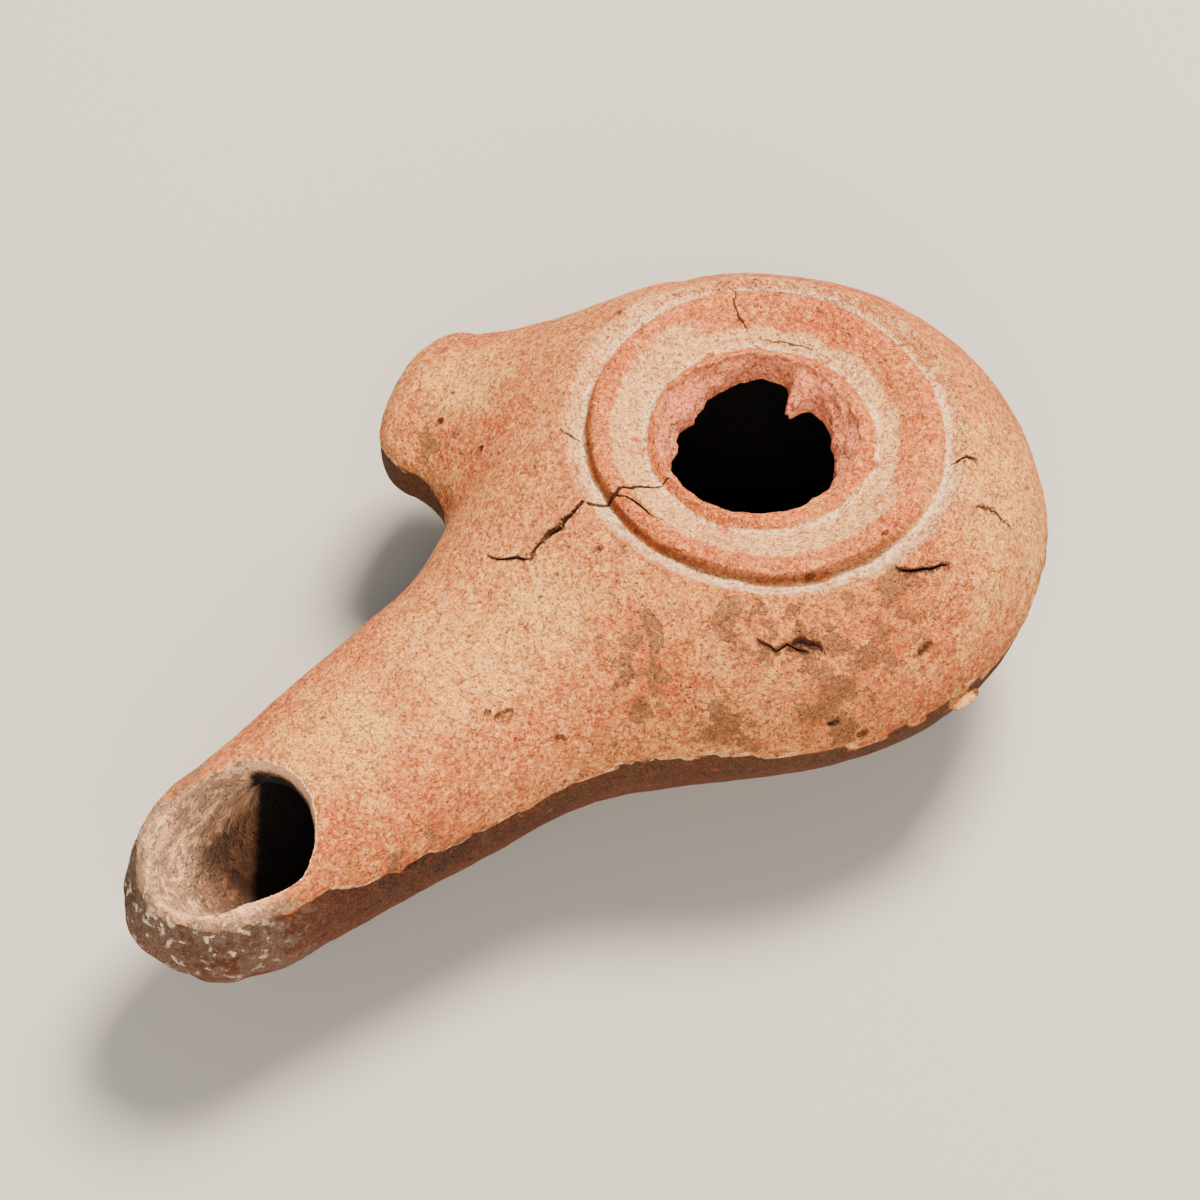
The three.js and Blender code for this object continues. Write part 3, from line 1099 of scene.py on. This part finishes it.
    def rooted_lug_distance(self, points: Array) -> Array:
        """Distance from the lug with its root, which dips under the trunk's skin where it ends.

        Args:
            points: Points in millimetres, shape (..., 3).

        Returns:
            Distances, negative inside.
        """
        lug = self.lug
        rooted = smooth_least(self.trunk_distance(points) + lug.sink, lug.distance(points), lug.blend)
        reach = lug.length + lug.end_cap + lug.blend / 4.0
        return np.maximum(rooted, np.linalg.norm(points - lug.start, axis=-1) - reach)

    def cavity_distance(self, points: Array) -> Array:
        """Distance from the oil chamber and channel, a wall inside the skin and under the top plate.

        Args:
            points: Points in millimetres, shape (..., 3).

        Returns:
            Distances, negative inside.
        """
        chamber = self.body.distance(points) + self.wall
        channel = self.nozzle.channel_distance(points, self.wall)
        hollow = smooth_least(chamber, channel, self.nozzle.blend / 2.0)
        ceiling = self.top.rings()[:, 1].min() - self.fill_hole.plate - points[..., 2]
        return -smooth_least(-hollow, ceiling, self.wall / 2.0)

    def above_seam(self, points: Array) -> Array:
        """How far points lie above the mould seam, which wanders and rises towards the tip.

        Args:
            points: Points in millimetres, shape (..., 3).

        Returns:
            The heights in millimetres, negative under the seam.
        """
        wander = layered_noise(points, (0.8, 7.0, 51), (0.5, 2.2, 52), (0.25, 0.9, 53))
        rise = self.seam_rise + self.seam_rise_at_tip * smooth_step(points[..., 0], 50.0, 63.0)
        return points[..., 2] - self.body.widest_height - rise - wander

    def hand_made(self, grid: Array, distance: Distance) -> Array:
        """Gives a turned skin the slight unevenness of pressed clay, and a low step at the seam.

        Formula: each point moves along its outward direction by noise of four wavelengths, more at
        the worn tip, and by a small step where it lies under the seam.

        Args:
            grid: Points, shape (rows, columns, 3).
            distance: Distance function of the skin.

        Returns:
            The moved points.
        """
        size = layered_noise(grid, (0.22, 14.0, 1), (0.12, 6.0, 2))
        size += layered_noise(grid, (0.07, 2.6, 3), (0.045, 1.2, 4))
        at_tip = smooth_step(grid[..., 0], 58.0, 68.0)
        size += at_tip * layered_noise(grid, (0.30, 3.6, 5), (0.16, 1.5, 6))
        size -= self.seam_step * smooth_step(self.above_seam(grid), 0.2, -0.2)
        fade = smooth_step(grid[..., 2], 1.0, 6.0)
        moved = grid + outward(grid, distance) * (size * fade)[..., None]
        moved[[0, -1]] = moved[[0, -1]].mean(axis=1, keepdims=True)
        return moved

    def skin(self, name: str, distance: Distance, start: Array, end: Array, fan: Fan) -> bpy.types.Object:
        """Makes one hand-made outer skin as a closed mesh.

        Args:
            name: Name of the object.
            distance: Distance function of the smooth form.
            start: First point of the line that the rays start from.
            end: Its last point.
            fan: Counts of rows and columns.

        Returns:
            The closed skin.
        """
        grid = ray_surface(distance, start, end, fan)
        return closed_mesh(name, Cut.SKIN, self.hand_made(grid, distance))

    def foot(self, around: int = 160) -> bpy.types.Object:
        """Makes the flat oval foot, which reaches forward under the nozzle.

        Formula: a profile turned about its axis, stretched along one direction and turned to its angle.

        Args:
            around: Columns around it.

        Returns:
            The closed foot.
        """
        width, edge = self.foot_half_width, self.foot_edge
        curve = np.linspace(0.0, 1.0, 8)
        side_height = edge + (self.foot_height - edge) * curve
        side = width - self.foot_draw * curve**2
        radii = np.concatenate([[0.0, width - edge, width - edge * 0.3], side, [0.0]])
        heights = np.concatenate([[0.0, 0.0, edge * 0.3], side_height, [self.foot_height]])
        angle = full_turn(around)
        along = radii[:, None] * np.cos(angle) * self.foot_half_length / width
        across = radii[:, None] * np.sin(angle)
        x = self.foot_place[0] + along * np.cos(self.foot_angle) - across * np.sin(self.foot_angle)
        y = self.foot_place[1] + along * np.sin(self.foot_angle) + across * np.cos(self.foot_angle)
        return closed_mesh("foot", Cut.SKIN, np.stack([x, y, heights[:, None] + 0.0 * x], axis=-1))

    def build(self) -> bpy.types.Object:
        """Joins the skins, cuts the hollow, rings, holes and cracks, and paints the masks.

        Returns:
            The finished lamp piece.
        """
        middle = np.array([0.0, 0.0, self.body.widest_height])
        tip = self.nozzle.middle(self.nozzle.length)
        trunk = self.skin("lamp_clay", self.trunk_distance, middle, tip, Fan(180, 60, 128, 46))
        along = self.lug.start + self.lug.direction * (self.lug.length - self.lug.end_cap / 2.0)
        along[2] = self.body.widest_height + self.lug.tip.rise
        lug = self.skin("lug", self.rooted_lug_distance, self.lug.start, along, Fan(100, 7, 32, 30))
        combine(trunk, lug, "UNION")
        combine(trunk, self.foot(), "UNION")
        channel_end = self.nozzle.middle(self.nozzle.channel_length)
        hollow = ray_surface(self.cavity_distance, middle, channel_end, Fan(72, 26, 38, 18))
        combine(trunk, closed_mesh("hollow", Cut.HOLLOW, hollow), "DIFFERENCE")
        for opening in (self.top, self.fill_hole, self.wick_hole):
            combine(trunk, opening.cutter(), "DIFFERENCE")
        self.wear_edges(trunk)
        combine(trunk, self.seam_burr(), "UNION")
        for crack in self.cracks:
            combine(trunk, crack.cutter(self.body.distance), "DIFFERENCE")
        combine(trunk, self.pit_cutter(trunk), "DIFFERENCE")
        self.paint(trunk)
        trunk.data.polygons.foreach_set("use_smooth", np.ones(len(trunk.data.polygons), dtype=bool))
        trunk.data.set_sharp_from_angle(angle=radians(42))
        return trunk

    def wear_edges(self, piece: bpy.types.Object) -> None:
        """Rounds the rims of the holes, most where the tip is worn.

        Args:
            piece: The lamp.
        """
        points = mesh_points(piece)
        rim = np.hypot(self.wick_hole.distance(points), self.trunk_distance(points))
        tip = smooth_step(points[:, 0], 55.0, 62.0)
        worn = self.least_wear + (1.0 - self.least_wear) * tip
        soften(piece, smooth_step(rim, *self.wick_rim) * worn, self.wick_wear_rounds)
        points = mesh_points(piece)
        radius, _ = self.fill_hole.centred(points)
        on_edge = smooth_step(np.abs(radius - self.fill_hole.top_radius), *self.fill_rim)
        high = smooth_step(points[:, 2], self.top.edge_height - 2.6, self.top.edge_height - 1.8)
        soften(piece, self.fill_wear * on_edge * high, self.fill_wear_rounds)

    def seam_burr(self) -> bpy.types.Object:
        """Makes the thin burr of clay that sticks out at the seam."""
        return closed_mesh("burr", Cut.SKIN, pebble(np.array(self.burr), self.burr_size, 91, 17, 24))

    def pit_cutter(self, piece: bpy.types.Object) -> bpy.types.Object:
        """Makes the cutter of all pits: the placed ones and stray ones spread over the outer skin.

        Args:
            piece: Piece whose points the stray pits are placed on.

        Returns:
            One object with a closed shell for each pit.
        """
        points = mesh_points(piece)
        on_skin = self.trunk_distance(points) > -self.pit_depth_on_skin
        skin = points[on_skin & (points[:, 2] > self.lowest_pit)]
        picks = np.random.default_rng(self.pit_seed).permutation(len(skin))
        centres = [np.array(pit.place) for pit in self.pits]
        radii = [pit.radius for pit in self.pits]
        for pick in picks:
            if len(centres) == len(self.pits) + self.stray_pits:
                break
            if min(np.linalg.norm(skin[pick] - centre) for centre in centres) > self.pit_spacing:
                centres.append(skin[pick])
                share = lattice_value(np.array([[pick, 1, 2]]), 8)[0] ** 3
                radii.append(self.least_pit + self.pit_spread * share)
        shells = [
            pebble(centre, (1.25 * radius, 0.8 * radius, 0.8 * radius), 100 + k)
            for k, (centre, radius) in enumerate(zip(centres, radii))
        ]
        return closed_mesh("pits", Cut.PIT, *shells)

    def paint(self, piece: bpy.types.Object) -> None:
        """Works out each painted share from where the points lie and stores it.

        Args:
            piece: The lamp.
        """
        points = mesh_points(piece)
        self.paint_lower_half(piece, points)
        self.paint_rings(piece, points)
        self.paint_wick_end(piece, points)
        store_mask(piece, Mask.FLAKED, 1.5 * patches(points, self.flaked))
        store_mask(piece, Mask.RUBBED_AND_HIGHLIGHT, patches(points, self.rubbed))
        # painted shade: dark in the cracks, lighter in the pits
        cleft = np.maximum(cut_share(piece, Cut.CRACK), 0.55 * cut_share(piece, Cut.PIT))
        store_mask(piece, Mask.CLEFT_SHADE, cleft)

    def paint_lower_half(self, piece: bpy.types.Object, points: Array) -> None:
        """Paints the dark-fired band under the seam with painted shade, the seam's pale broken edge, and
        painted shade on the bottom.

        Args:
            piece: The lamp.
            points: Its points in millimetres, shape (count, 3).
        """
        above = self.above_seam(points)
        outside = smooth_step(self.trunk_distance(points), -1.6, -0.9)
        burr = Patch(self.burr, 1.6).share(points)
        # dark-fired band, darkened further as painted shade on the downward-facing side
        store_mask(piece, Mask.DARK_FIRED_AND_SHADE, outside * smooth_step(above, 0.15, -0.15) * (1.0 - burr))
        # painted shade: darker towards the bottom, under the seam
        store_mask(piece, Mask.UNDERSIDE_SHADE, smooth_step(above, -2.8, -6.0))
        store_mask(piece, Mask.SEAM_EDGE, 0.68 * outside * smooth_step(np.abs(above - 0.12), 0.45, 0.12))

    def paint_rings(self, piece: bpy.types.Object, points: Array) -> None:
        """Paints the fill hole's broken wall, the rings' slip, the pale grooves, and painted shade and
        highlight on the rings.

        Args:
            piece: The lamp.
            points: Its points in millimetres, shape (count, 3).
        """
        x, y, z = points.T
        low = self.top.rings()[:, 1].min() - self.fill_hole.plate
        store_mask(piece, Mask.BROKEN, cut_share(piece, Cut.FILL_HOLE))
        ring = self.top.ring_radius(points) + 0.25 * noise(points, 2.5, 55)
        on_top = smooth_step(z, low + 1.0, low + 2.0) * smooth_step(ring, 19.6, 19.2)
        turn = np.arctan2(y, x)
        kept = self.kept.share(turn)
        bands = self.bands
        # painted shade: darkens the ring rise on the side that faces away from the light
        store_mask(piece, Mask.RING_SHADE, on_top * bands.rise.share(ring) * self.shaded_side.share(turn))
        slope = bands.slope.share(ring)
        outer_slope = smooth_step(ring, 12.5, 13.1) * kept
        pale = np.maximum(slope * (1.0 - outer_slope), bands.face.share(ring) * (0.9 - 0.4 * kept))
        store_mask(piece, Mask.PALE_SLIP, on_top * pale)
        red = [bands.crest.share(ring), bands.inner_crest.share(ring), slope * outer_slope]
        store_mask(piece, Mask.RED_SLIP, on_top * np.max(red, axis=0))
        grooves = bands.groove.share(ring) + bands.inner_groove.share(ring)
        # painted highlight: the lip of the outer ring, lighter on the side that faces the light
        lip = bands.lip.share(ring) * self.lit_lip_side.share(turn)
        store_mask(piece, Mask.DUST_AND_HIGHLIGHT, on_top * np.maximum(grooves, 0.7 * lip))

    def paint_wick_end(self, piece: bpy.types.Object, points: Array) -> None:
        """Paints the sooted far wall and the weathered tip, the white crust, painted shade deep in the hole,
        and the scoop lightened as painted light.

        Args:
            piece: The lamp.
            points: Its points in millimetres, shape (count, 3).
        """
        x, y, z = points.T
        scoop = cut_share(piece, Cut.SCOOP)
        hollow = cut_share(piece, Cut.HOLLOW)
        # painted shade: the dark inside of the wick end, cut off along a shadow line across the scoop
        deep = smooth_step(x - 0.87 * y, 62.6, 60.4) * smooth_step(self.trunk_distance(points), -0.8, -2.4)
        store_mask(piece, Mask.INSIDE_SHADE, np.maximum(hollow, scoop) * deep)
        # worn scoop colour, also painted light where the scoop floor lies in shadow
        scoop = np.maximum(scoop, hollow * smooth_step(x, 50.0, 54.0))
        rim = smooth_step(x, 60.0, 66.0) * smooth_step(z, 15.0, 19.0)
        store_mask(piece, Mask.SCOOPED_AND_LIT, np.maximum(scoop, 0.75 * rim))
        far_wall = scoop * smooth_step(y, -4.2, -6.4) * smooth_step(z, 16.0, 20.0)
        above = self.above_seam(points)
        low_tip = smooth_step(x, 54.0, 64.0) * smooth_step(above, 2.4, 0.0)
        end = smooth_step(x, 64.5, 70.5) * (1.0 - 0.6 * scoop)
        far_rim = smooth_step(x, 54.0, 60.0) * smooth_step(y, -4.0, -7.5) * smooth_step(z, 16.0, 20.0)
        sooty = [0.75 * far_wall, 0.8 * low_tip, 0.55 * end, 0.6 * far_rim]
        store_mask(piece, Mask.SOOT, np.max(sooty, axis=0))
        store_mask(piece, Mask.CHALK, smooth_step(x, 61.0, 67.5) * smooth_step(z, 11.0, 18.0))


# Finishes


def linear(hex_colour: str) -> tuple[float, float, float, float]:
    """Turns an sRGB hex colour to linear red, green, blue and one for alpha.

    Args:
        hex_colour: Six hex digits after a hash sign.

    Returns:
        The four numbers.
    """
    parts = np.array([int(hex_colour[k : k + 2], 16) for k in (1, 3, 5)]) / 255.0
    light = np.where(parts <= 0.04045, parts / 12.92, ((parts + 0.055) / 1.055) ** 2.4)
    return (*light.tolist(), 1.0)


@dataclass(frozen=True)
class Nodes:
    """A node tree under work, with short ways to add the nodes that a finish is made of."""

    tree: bpy.types.NodeTree

    def add(
        self,
        kind: str,
        settings: Optional[dict[str, object]] = None,
        inputs: Optional[dict[object, object]] = None,
    ) -> bpy.types.Node:
        """Adds a node, sets its properties, and fills or links its inputs.

        Args:
            kind: Blender's name of the node type.
            settings: Properties by name.
            inputs: Values or output sockets by input name or number.

        Returns:
            The node.
        """
        node = self.tree.nodes.new(kind)
        for name, value in (settings or {}).items():
            setattr(node, name, value)
        for name, value in (inputs or {}).items():
            if isinstance(value, Socket):
                self.tree.links.new(value, node.inputs[name])
            else:
                node.inputs[name].default_value = value
        return node

    def maths(self, operation: str, *values: object) -> Socket:
        """Result of one operation on values and sockets."""
        return self.add("ShaderNodeMath", {"operation": operation}, dict(enumerate(values))).outputs[0]

    def product(self, first: Socket, second: object) -> Socket:
        """Product of a socket with a value or another socket."""
        return self.maths("MULTIPLY", first, second)

    def noise(self, where: Socket, size: float, detail: float, rough: float) -> Socket:
        """Noise whose largest spots are about the given size in millimetres."""
        inputs = {"Vector": where, "Scale": 1.0 / size, "Detail": detail, "Roughness": rough}
        return self.add("ShaderNodeTexNoise", None, inputs).outputs["Fac"]

    def ramp(self, value: Socket, low: float, high: float) -> Socket:
        """Share that rises from 0 at low to 1 at high, or falls where high is below low."""
        inputs = {"Value": value, "From Min": low, "From Max": high}
        return self.add("ShaderNodeMapRange", {"interpolation_type": "SMOOTHSTEP"}, inputs).outputs["Result"]

    def painted(self, mask: Mask) -> Socket:
        """Painted share of a mask."""
        return self.add("ShaderNodeAttribute", {"attribute_name": mask.value}).outputs["Fac"]

    def mix(self, share: Socket, first: object, second: object) -> Socket:
        """Mixes two colours, each a value or a socket."""
        return self.add("ShaderNodeMix", {"data_type": "RGBA"}, {0: share, 6: first, 7: second}).outputs[2]

    def bump(self, height: Socket, strength: float, depth: float, below: Optional[Socket]) -> Socket:
        """Bump from a height, its depth in millimetres, laid over another bump.

        Args:
            height: The height, from 0 to 1.
            strength: Share of the bump that is used.
            depth: Its depth in millimetres, negative to turn it inwards.
            below: Normal of the bump that it lies on, if there is one.

        Returns:
            The normal.
        """
        inputs = {"Strength": strength, "Distance": depth * MM, "Height": height}
        if below is not None:
            inputs["Normal"] = below
        return self.add("ShaderNodeBump", None, inputs).outputs["Normal"]


class Spots(Enum):
    """Noises of the clay: size of their largest spots in millimetres, detail and roughness."""

    BROAD = (11.0, 3.0, 0.55)
    PATCHY = (3.2, 5.0, 0.62)
    ISLANDS = (2.6, 4.0, 0.6)
    FINE = (1.1, 4.0, 0.6)
    CRUMBLING = (0.9, 3.0, 0.7)
    SAND = (0.42, 3.0, 0.7)


@dataclass(frozen=True)
class Coat:
    """A tone laid over the clay where a mask is painted, broken up by noise at its edge."""

    mask: Mask
    tone: str
    strength: float
    breakup: float
    edge: float = 0.12


@dataclass(frozen=True)
class Hold:
    """A mask that holds flecks back, fully where it reaches one share and not at all at another."""

    mask: Mask
    full: float = 1.3
    none: float = 0.0


@dataclass(frozen=True)
class Fleck:
    """A tone laid over the clay where a noise passes from low to high, all over or within a mask."""

    spots: Spots
    low: float
    high: float
    strength: float
    tone: str
    within: Optional[Mask] = None
    holds: tuple[Hold, ...] = ()


@dataclass(frozen=True)
class Terracotta:
    """Low-fired, unglazed terracotta, pressed in a two-part mould, with a thin slip worn by burial.

    To the eye it is matt and sandy: orange where the slip lasts, paler and pinker where it is worn away,
    brown where the lower half was fired darker, and grey with soot at the wick hole. Painted shade darkens
    the lower half further, the bottom, one side of the ring rise, the cracks, the pits and the inside of the
    holes; painted highlights lighten the worn patches, one side of the ring lip and the scoop.
    """

    clay: str = "#d68243"
    mottling: tuple[Fleck, ...] = (
        Fleck(Spots.BROAD, 0.38, 0.64, 1.0, "#c3632f"),
        Fleck(Spots.PATCHY, 0.50, 0.66, 0.55, "#eaa557"),
        Fleck(Spots.FINE, 0.50, 0.38, 0.6, "#a95026"),
        Fleck(Spots.FINE, 0.54, 0.64, 0.45, "#eaa557"),
    )
    flake_tone: str = "#7d5031"
    flake_strength: float = 0.8
    coats: tuple[Coat, ...] = (
        # worn slip and painted highlight, pale yellow
        Coat(Mask.RUBBED_AND_HIGHLIGHT, "#f1b25f", 0.65, 2.0, 0.5),
        Coat(Mask.RED_SLIP, "#cc6030", 0.5, 2.0, 0.45),
        Coat(Mask.PALE_SLIP, "#f1bd82", 0.62, 2.5, 0.5),
        # dust in the grooves and painted highlight on the ring lip
        Coat(Mask.DUST_AND_HIGHLIGHT, "#f9dcb2", 0.55, 3.5, 0.4),
        # painted shade on the ring rise
        Coat(Mask.RING_SHADE, "#643216", 0.75, 2.0, 0.4),
        Coat(Mask.BROKEN, "#ee8762", 0.8, 1.0, 0.3),
        # worn scoop tone, pale enough to paint light onto the shaded floor
        Coat(Mask.SCOOPED_AND_LIT, "#f4bd92", 0.9, 0.8, 0.3),
        # dark-fired clay and painted shade, near black
        Coat(Mask.DARK_FIRED_AND_SHADE, "#2f1910", 0.92, 1.6, 0.2),
        # painted shade on the bottom
        Coat(Mask.UNDERSIDE_SHADE, "#683a26", 0.8, 1.5, 0.5),
        Coat(Mask.SEAM_EDGE, "#eeb27c", 0.75, 5.0, 0.15),
        Coat(Mask.SOOT, "#6d5748", 0.7, 5.0, 0.25),
        # painted shade inside the hollow and the wick hole
        Coat(Mask.INSIDE_SHADE, "#0e0806", 1.0, 0.5, 0.45),
        # painted shade in the cracks and pits
        Coat(Mask.CLEFT_SHADE, "#341b11", 0.9, 0.3, 0.3),
    )
    crust: Fleck = Fleck(Spots.FINE, 0.57, 0.63, 0.8, "#ecd2b0", within=Mask.CHALK)
    dark_grains: Fleck = Fleck(Spots.SAND, 0.51, 0.62, 0.6, "#7a3b20")
    light_grains: Fleck = Fleck(Spots.SAND, 0.48, 0.36, 0.34, "#f6c98c")
    pale_holds: tuple[Hold, ...] = (Hold(Mask.INSIDE_SHADE, 0.5, 0.1), Hold(Mask.SCOOPED_AND_LIT, 1.4, 0.0))
    dark_masks: tuple[Mask, ...] = (Mask.DARK_FIRED_AND_SHADE, Mask.UNDERSIDE_SHADE, Mask.SOOT, Mask.FLAKED, Mask.RING_SHADE)
    reliefs: tuple[tuple[float, float], ...] = ((1.0, 1.0), (0.9, 1.2), (1.0, -0.16), (1.0, 0.8))
    roughness: float = 0.9
    specular: float = 0.25

    def build(self) -> bpy.types.Material:
        """Makes the material on Object coordinates, in millimetres.

        Returns:
            The material.
        """
        material = bpy.data.materials.new("low_fired_terracotta")
        material.use_nodes = True
        nodes = Nodes(material.node_tree)
        nodes.tree.nodes.clear()
        stretch = {"Vector": nodes.add("ShaderNodeTexCoord").outputs["Object"], "Scale": (1.0 / MM,) * 3}
        scaled = nodes.add("ShaderNodeMapping", {"vector_type": "POINT"}, stretch).outputs["Vector"]
        noises = {spots: nodes.noise(scaled, *spots.value) for spots in Spots}
        flaked = self.flaked(nodes, noises)
        dark_grains = replace(self.dark_grains, holds=self.pale_holds)
        all_holds = self.pale_holds + tuple(Hold(mask) for mask in self.dark_masks)
        light_grains = replace(self.light_grains, holds=all_holds)
        layers = [(self.fleck_share(nodes, fleck, noises), fleck.tone) for fleck in self.mottling]
        layers.append((nodes.product(flaked, self.flake_strength), self.flake_tone))
        layers += [(self.coat_share(nodes, coat, noises), coat.tone) for coat in self.coats]
        for fleck in (self.crust, dark_grains, light_grains):
            layers.append((self.fleck_share(nodes, fleck, noises), fleck.tone))
        colour = linear(self.clay)
        for share, tone in layers:
            colour = nodes.mix(share, colour, linear(tone))
        surface = {
            "Base Color": colour,
            "Roughness": self.roughness,
            "Specular IOR Level": self.specular,
            "Normal": self.relief(nodes, noises, flaked),
        }
        shader = nodes.add("ShaderNodeBsdfPrincipled", None, surface)
        nodes.add("ShaderNodeOutputMaterial", None, {"Surface": shader.outputs["BSDF"]})
        return material

    def fleck_share(self, nodes: Nodes, fleck: Fleck, noises: dict[Spots, Socket]) -> Socket:
        """Share of a fleck: its noise cut between low and high, within its mask and held back.

        Args:
            nodes: Nodes of the material.
            fleck: The fleck.
            noises: The noises of the clay.

        Returns:
            The share.
        """
        share = nodes.product(nodes.ramp(noises[fleck.spots], fleck.low, fleck.high), fleck.strength)
        if fleck.within is not None:
            share = nodes.product(share, nodes.painted(fleck.within))
        for hold in fleck.holds:
            share = nodes.product(share, nodes.ramp(nodes.painted(hold.mask), hold.full, hold.none))
        return share

    def coat_share(self, nodes: Nodes, coat: Coat, noises: dict[Spots, Socket]) -> Socket:
        """Share of a coat: its mask made more or less by noise, cut at one half, times its strength.

        Args:
            nodes: Nodes of the material.
            coat: The coat.
            noises: The noises of the clay.

        Returns:
            The share.
        """
        both = nodes.maths("ADD", noises[Spots.PATCHY], noises[Spots.FINE])
        factor = nodes.maths("MULTIPLY_ADD", both, coat.breakup, 1.0 - coat.breakup)
        broken = nodes.product(factor, nodes.painted(coat.mask))
        return nodes.product(nodes.ramp(broken, 0.5 - coat.edge, 0.5 + coat.edge), coat.strength)

    def flaked(self, nodes: Nodes, noises: dict[Spots, Socket]) -> Socket:
        """Share of slip that has flaked off in sharp-edged, uneven islands inside the painted patches."""
        islands = nodes.ramp(noises[Spots.ISLANDS], 0.45, 0.59)
        return nodes.ramp(nodes.product(islands, nodes.painted(Mask.FLAKED)), 0.32, 0.38)

    def relief(self, nodes: Nodes, noises: dict[Spots, Socket], flaked: Socket) -> Socket:
        """Normal of sand, crumbs, peeled slip and deep crumbling on the broken wall and the tip.

        Args:
            nodes: Nodes of the material.
            noises: The noises of the clay.
            flaked: Share of slip that has flaked off.

        Returns:
            The normal.
        """
        rough = nodes.maths("MAXIMUM", nodes.painted(Mask.BROKEN), nodes.painted(Mask.SOOT))
        crumbling = nodes.product(noises[Spots.CRUMBLING], rough)
        heights = (noises[Spots.SAND], noises[Spots.FINE], flaked, crumbling)
        normal = None
        for height, (strength, depth) in zip(heights, self.reliefs):
            normal = nodes.bump(height, strength, depth, normal)
        return normal


@dataclass(frozen=True)
class PaperFloor:
    """Smooth pale card, matt, as the studio floor."""

    colour: str = "#9f9c96"
    roughness: float = 0.95

    def build(self) -> bpy.types.Material:
        """Makes the plain matt material.

        Returns:
            The material.
        """
        material = bpy.data.materials.new("pale_card")
        material.use_nodes = True
        shader = material.node_tree.nodes["Principled BSDF"]
        shader.inputs["Base Color"].default_value = linear(self.colour)
        shader.inputs["Roughness"].default_value = self.roughness
        return material


# Studio


def rotated(first: Array, second: Array, angle: float) -> tuple[Array, Array]:
    """Turns a pair of square directions in their own plane, the first towards the second."""
    cosine, sine = np.cos(angle), np.sin(angle)
    return first * cosine + second * sine, second * cosine - first * sine


@dataclass
class View:
    """Camera at the photograph's angle, as turns about an aim point in millimetres and degrees."""

    aim: tuple[float, float, float] = (20.0, 0.0, 13.8)
    distance: float = 420.0
    yaw: float = 221.04
    elevation: float = 53.99
    roll: float = -0.42
    focal_pixels: float = 4500.0
    picture_pixels: float = 1200.0
    off_aim_pixels: tuple[float, float] = (1.35, 59.88)
    sensor: float = 36.0
    nearest: float = 0.01

    def build(self) -> bpy.types.Object:
        """Makes the camera.

        Formula: a level turn and a tilt down give right, up and ahead, a roll turns right and up, and
        two small turns bring the aim point off the picture's middle.

        Returns:
            The camera object.
        """
        yaw, tilt, roll = radians(self.yaw), radians(self.elevation), radians(self.roll)
        right = np.array([np.cos(yaw), -np.sin(yaw), 0.0])
        ahead = np.array([np.sin(yaw) * np.cos(tilt), np.cos(yaw) * np.cos(tilt), -np.sin(tilt)])
        up = np.array([np.sin(yaw) * np.sin(tilt), np.cos(yaw) * np.sin(tilt), np.cos(tilt)])
        place = np.array(self.aim) - self.distance * ahead
        up, right = rotated(up, right, roll)
        sideways, upwards = np.arctan(np.array(self.off_aim_pixels) / self.focal_pixels)
        right, ahead = rotated(right, ahead, sideways)
        ahead, up = rotated(ahead, up, upwards)
        data = bpy.data.cameras.new("camera")
        data.sensor_width = self.sensor
        data.lens = self.focal_pixels / self.picture_pixels * self.sensor
        data.clip_start = self.nearest
        camera = bpy.data.objects.new("camera", data)
        axes = np.eye(4)
        axes[:3, 0], axes[:3, 1], axes[:3, 2], axes[:3, 3] = right, up, -ahead, place * MM
        camera.matrix_world = Matrix(axes.tolist())
        bpy.context.scene.collection.objects.link(camera)
        bpy.context.scene.camera = camera
        return camera


@dataclass(frozen=True)
class Lamplight:
    """One square soft light, placed and aimed in metres."""

    name: str
    place: tuple[float, float, float]
    size: float
    power: float
    colour: str = "#ffffff"

    def build(self, aim: Vector) -> bpy.types.Object:
        """Makes the light and turns it to its aim.

        Args:
            aim: Point that it shines at, in metres.

        Returns:
            The light.
        """
        data = bpy.data.lights.new(self.name, "AREA")
        data.size = self.size
        data.energy = self.power
        data.color = linear(self.colour)[:3]
        light = bpy.data.objects.new(self.name, data)
        light.location = self.place
        light.rotation_euler = (aim - Vector(self.place)).to_track_quat("-Z", "Y").to_euler()
        bpy.context.scene.collection.objects.link(light)
        return light


@dataclass
class Studio:
    """Plain pale floor and plain soft light, in metres."""

    floor_size: float = 6.0
    world_light: float = 0.5
    world_colour: str = "#f4f6fa"
    aim: tuple[float, float, float] = (0.02, 0.0, 0.015)
    lights: tuple[Lamplight, ...] = (
        Lamplight("key", (-0.36, -0.10, 0.78), 0.30, 32.0, "#fff0dc"),
        Lamplight("fill", (0.55, 0.65, 0.55), 0.8, 20.0, "#fff4e6"),
    )

    def build(self) -> None:
        """Makes the floor, the lights and the even surrounding light."""
        half = self.floor_size / 2.0
        corners = [(-half, -half, 0.0), (half, -half, 0.0), (half, half, 0.0), (-half, half, 0.0)]
        mesh = bpy.data.meshes.new("floor")
        mesh.from_pydata(corners, [], [(0, 1, 2, 3)])
        mesh.materials.append(PaperFloor().build())
        floor = bpy.data.objects.new("floor", mesh)
        bpy.context.scene.collection.objects.link(floor)
        for light in self.lights:
            light.build(Vector(self.aim))
        world = bpy.data.worlds.new("surroundings")
        world.use_nodes = True
        background = world.node_tree.nodes["Background"]
        background.inputs["Color"].default_value = linear(self.world_colour)
        background.inputs["Strength"].default_value = self.world_light
        bpy.context.scene.world = world


def main() -> None:
    """Builds the camera, the lamp and the studio."""
    logging.basicConfig(level=logging.INFO)
    View().build()
    piece = Lamp().build()
    piece.data.materials.clear()
    piece.data.materials.append(Terracotta().build())
    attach(piece, "root")
    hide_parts(NODE)
    log.info("lamp piece: %d points, %d faces", len(piece.data.vertices), len(piece.data.polygons))
    Studio().build()


if __name__ == "__main__":
    main()
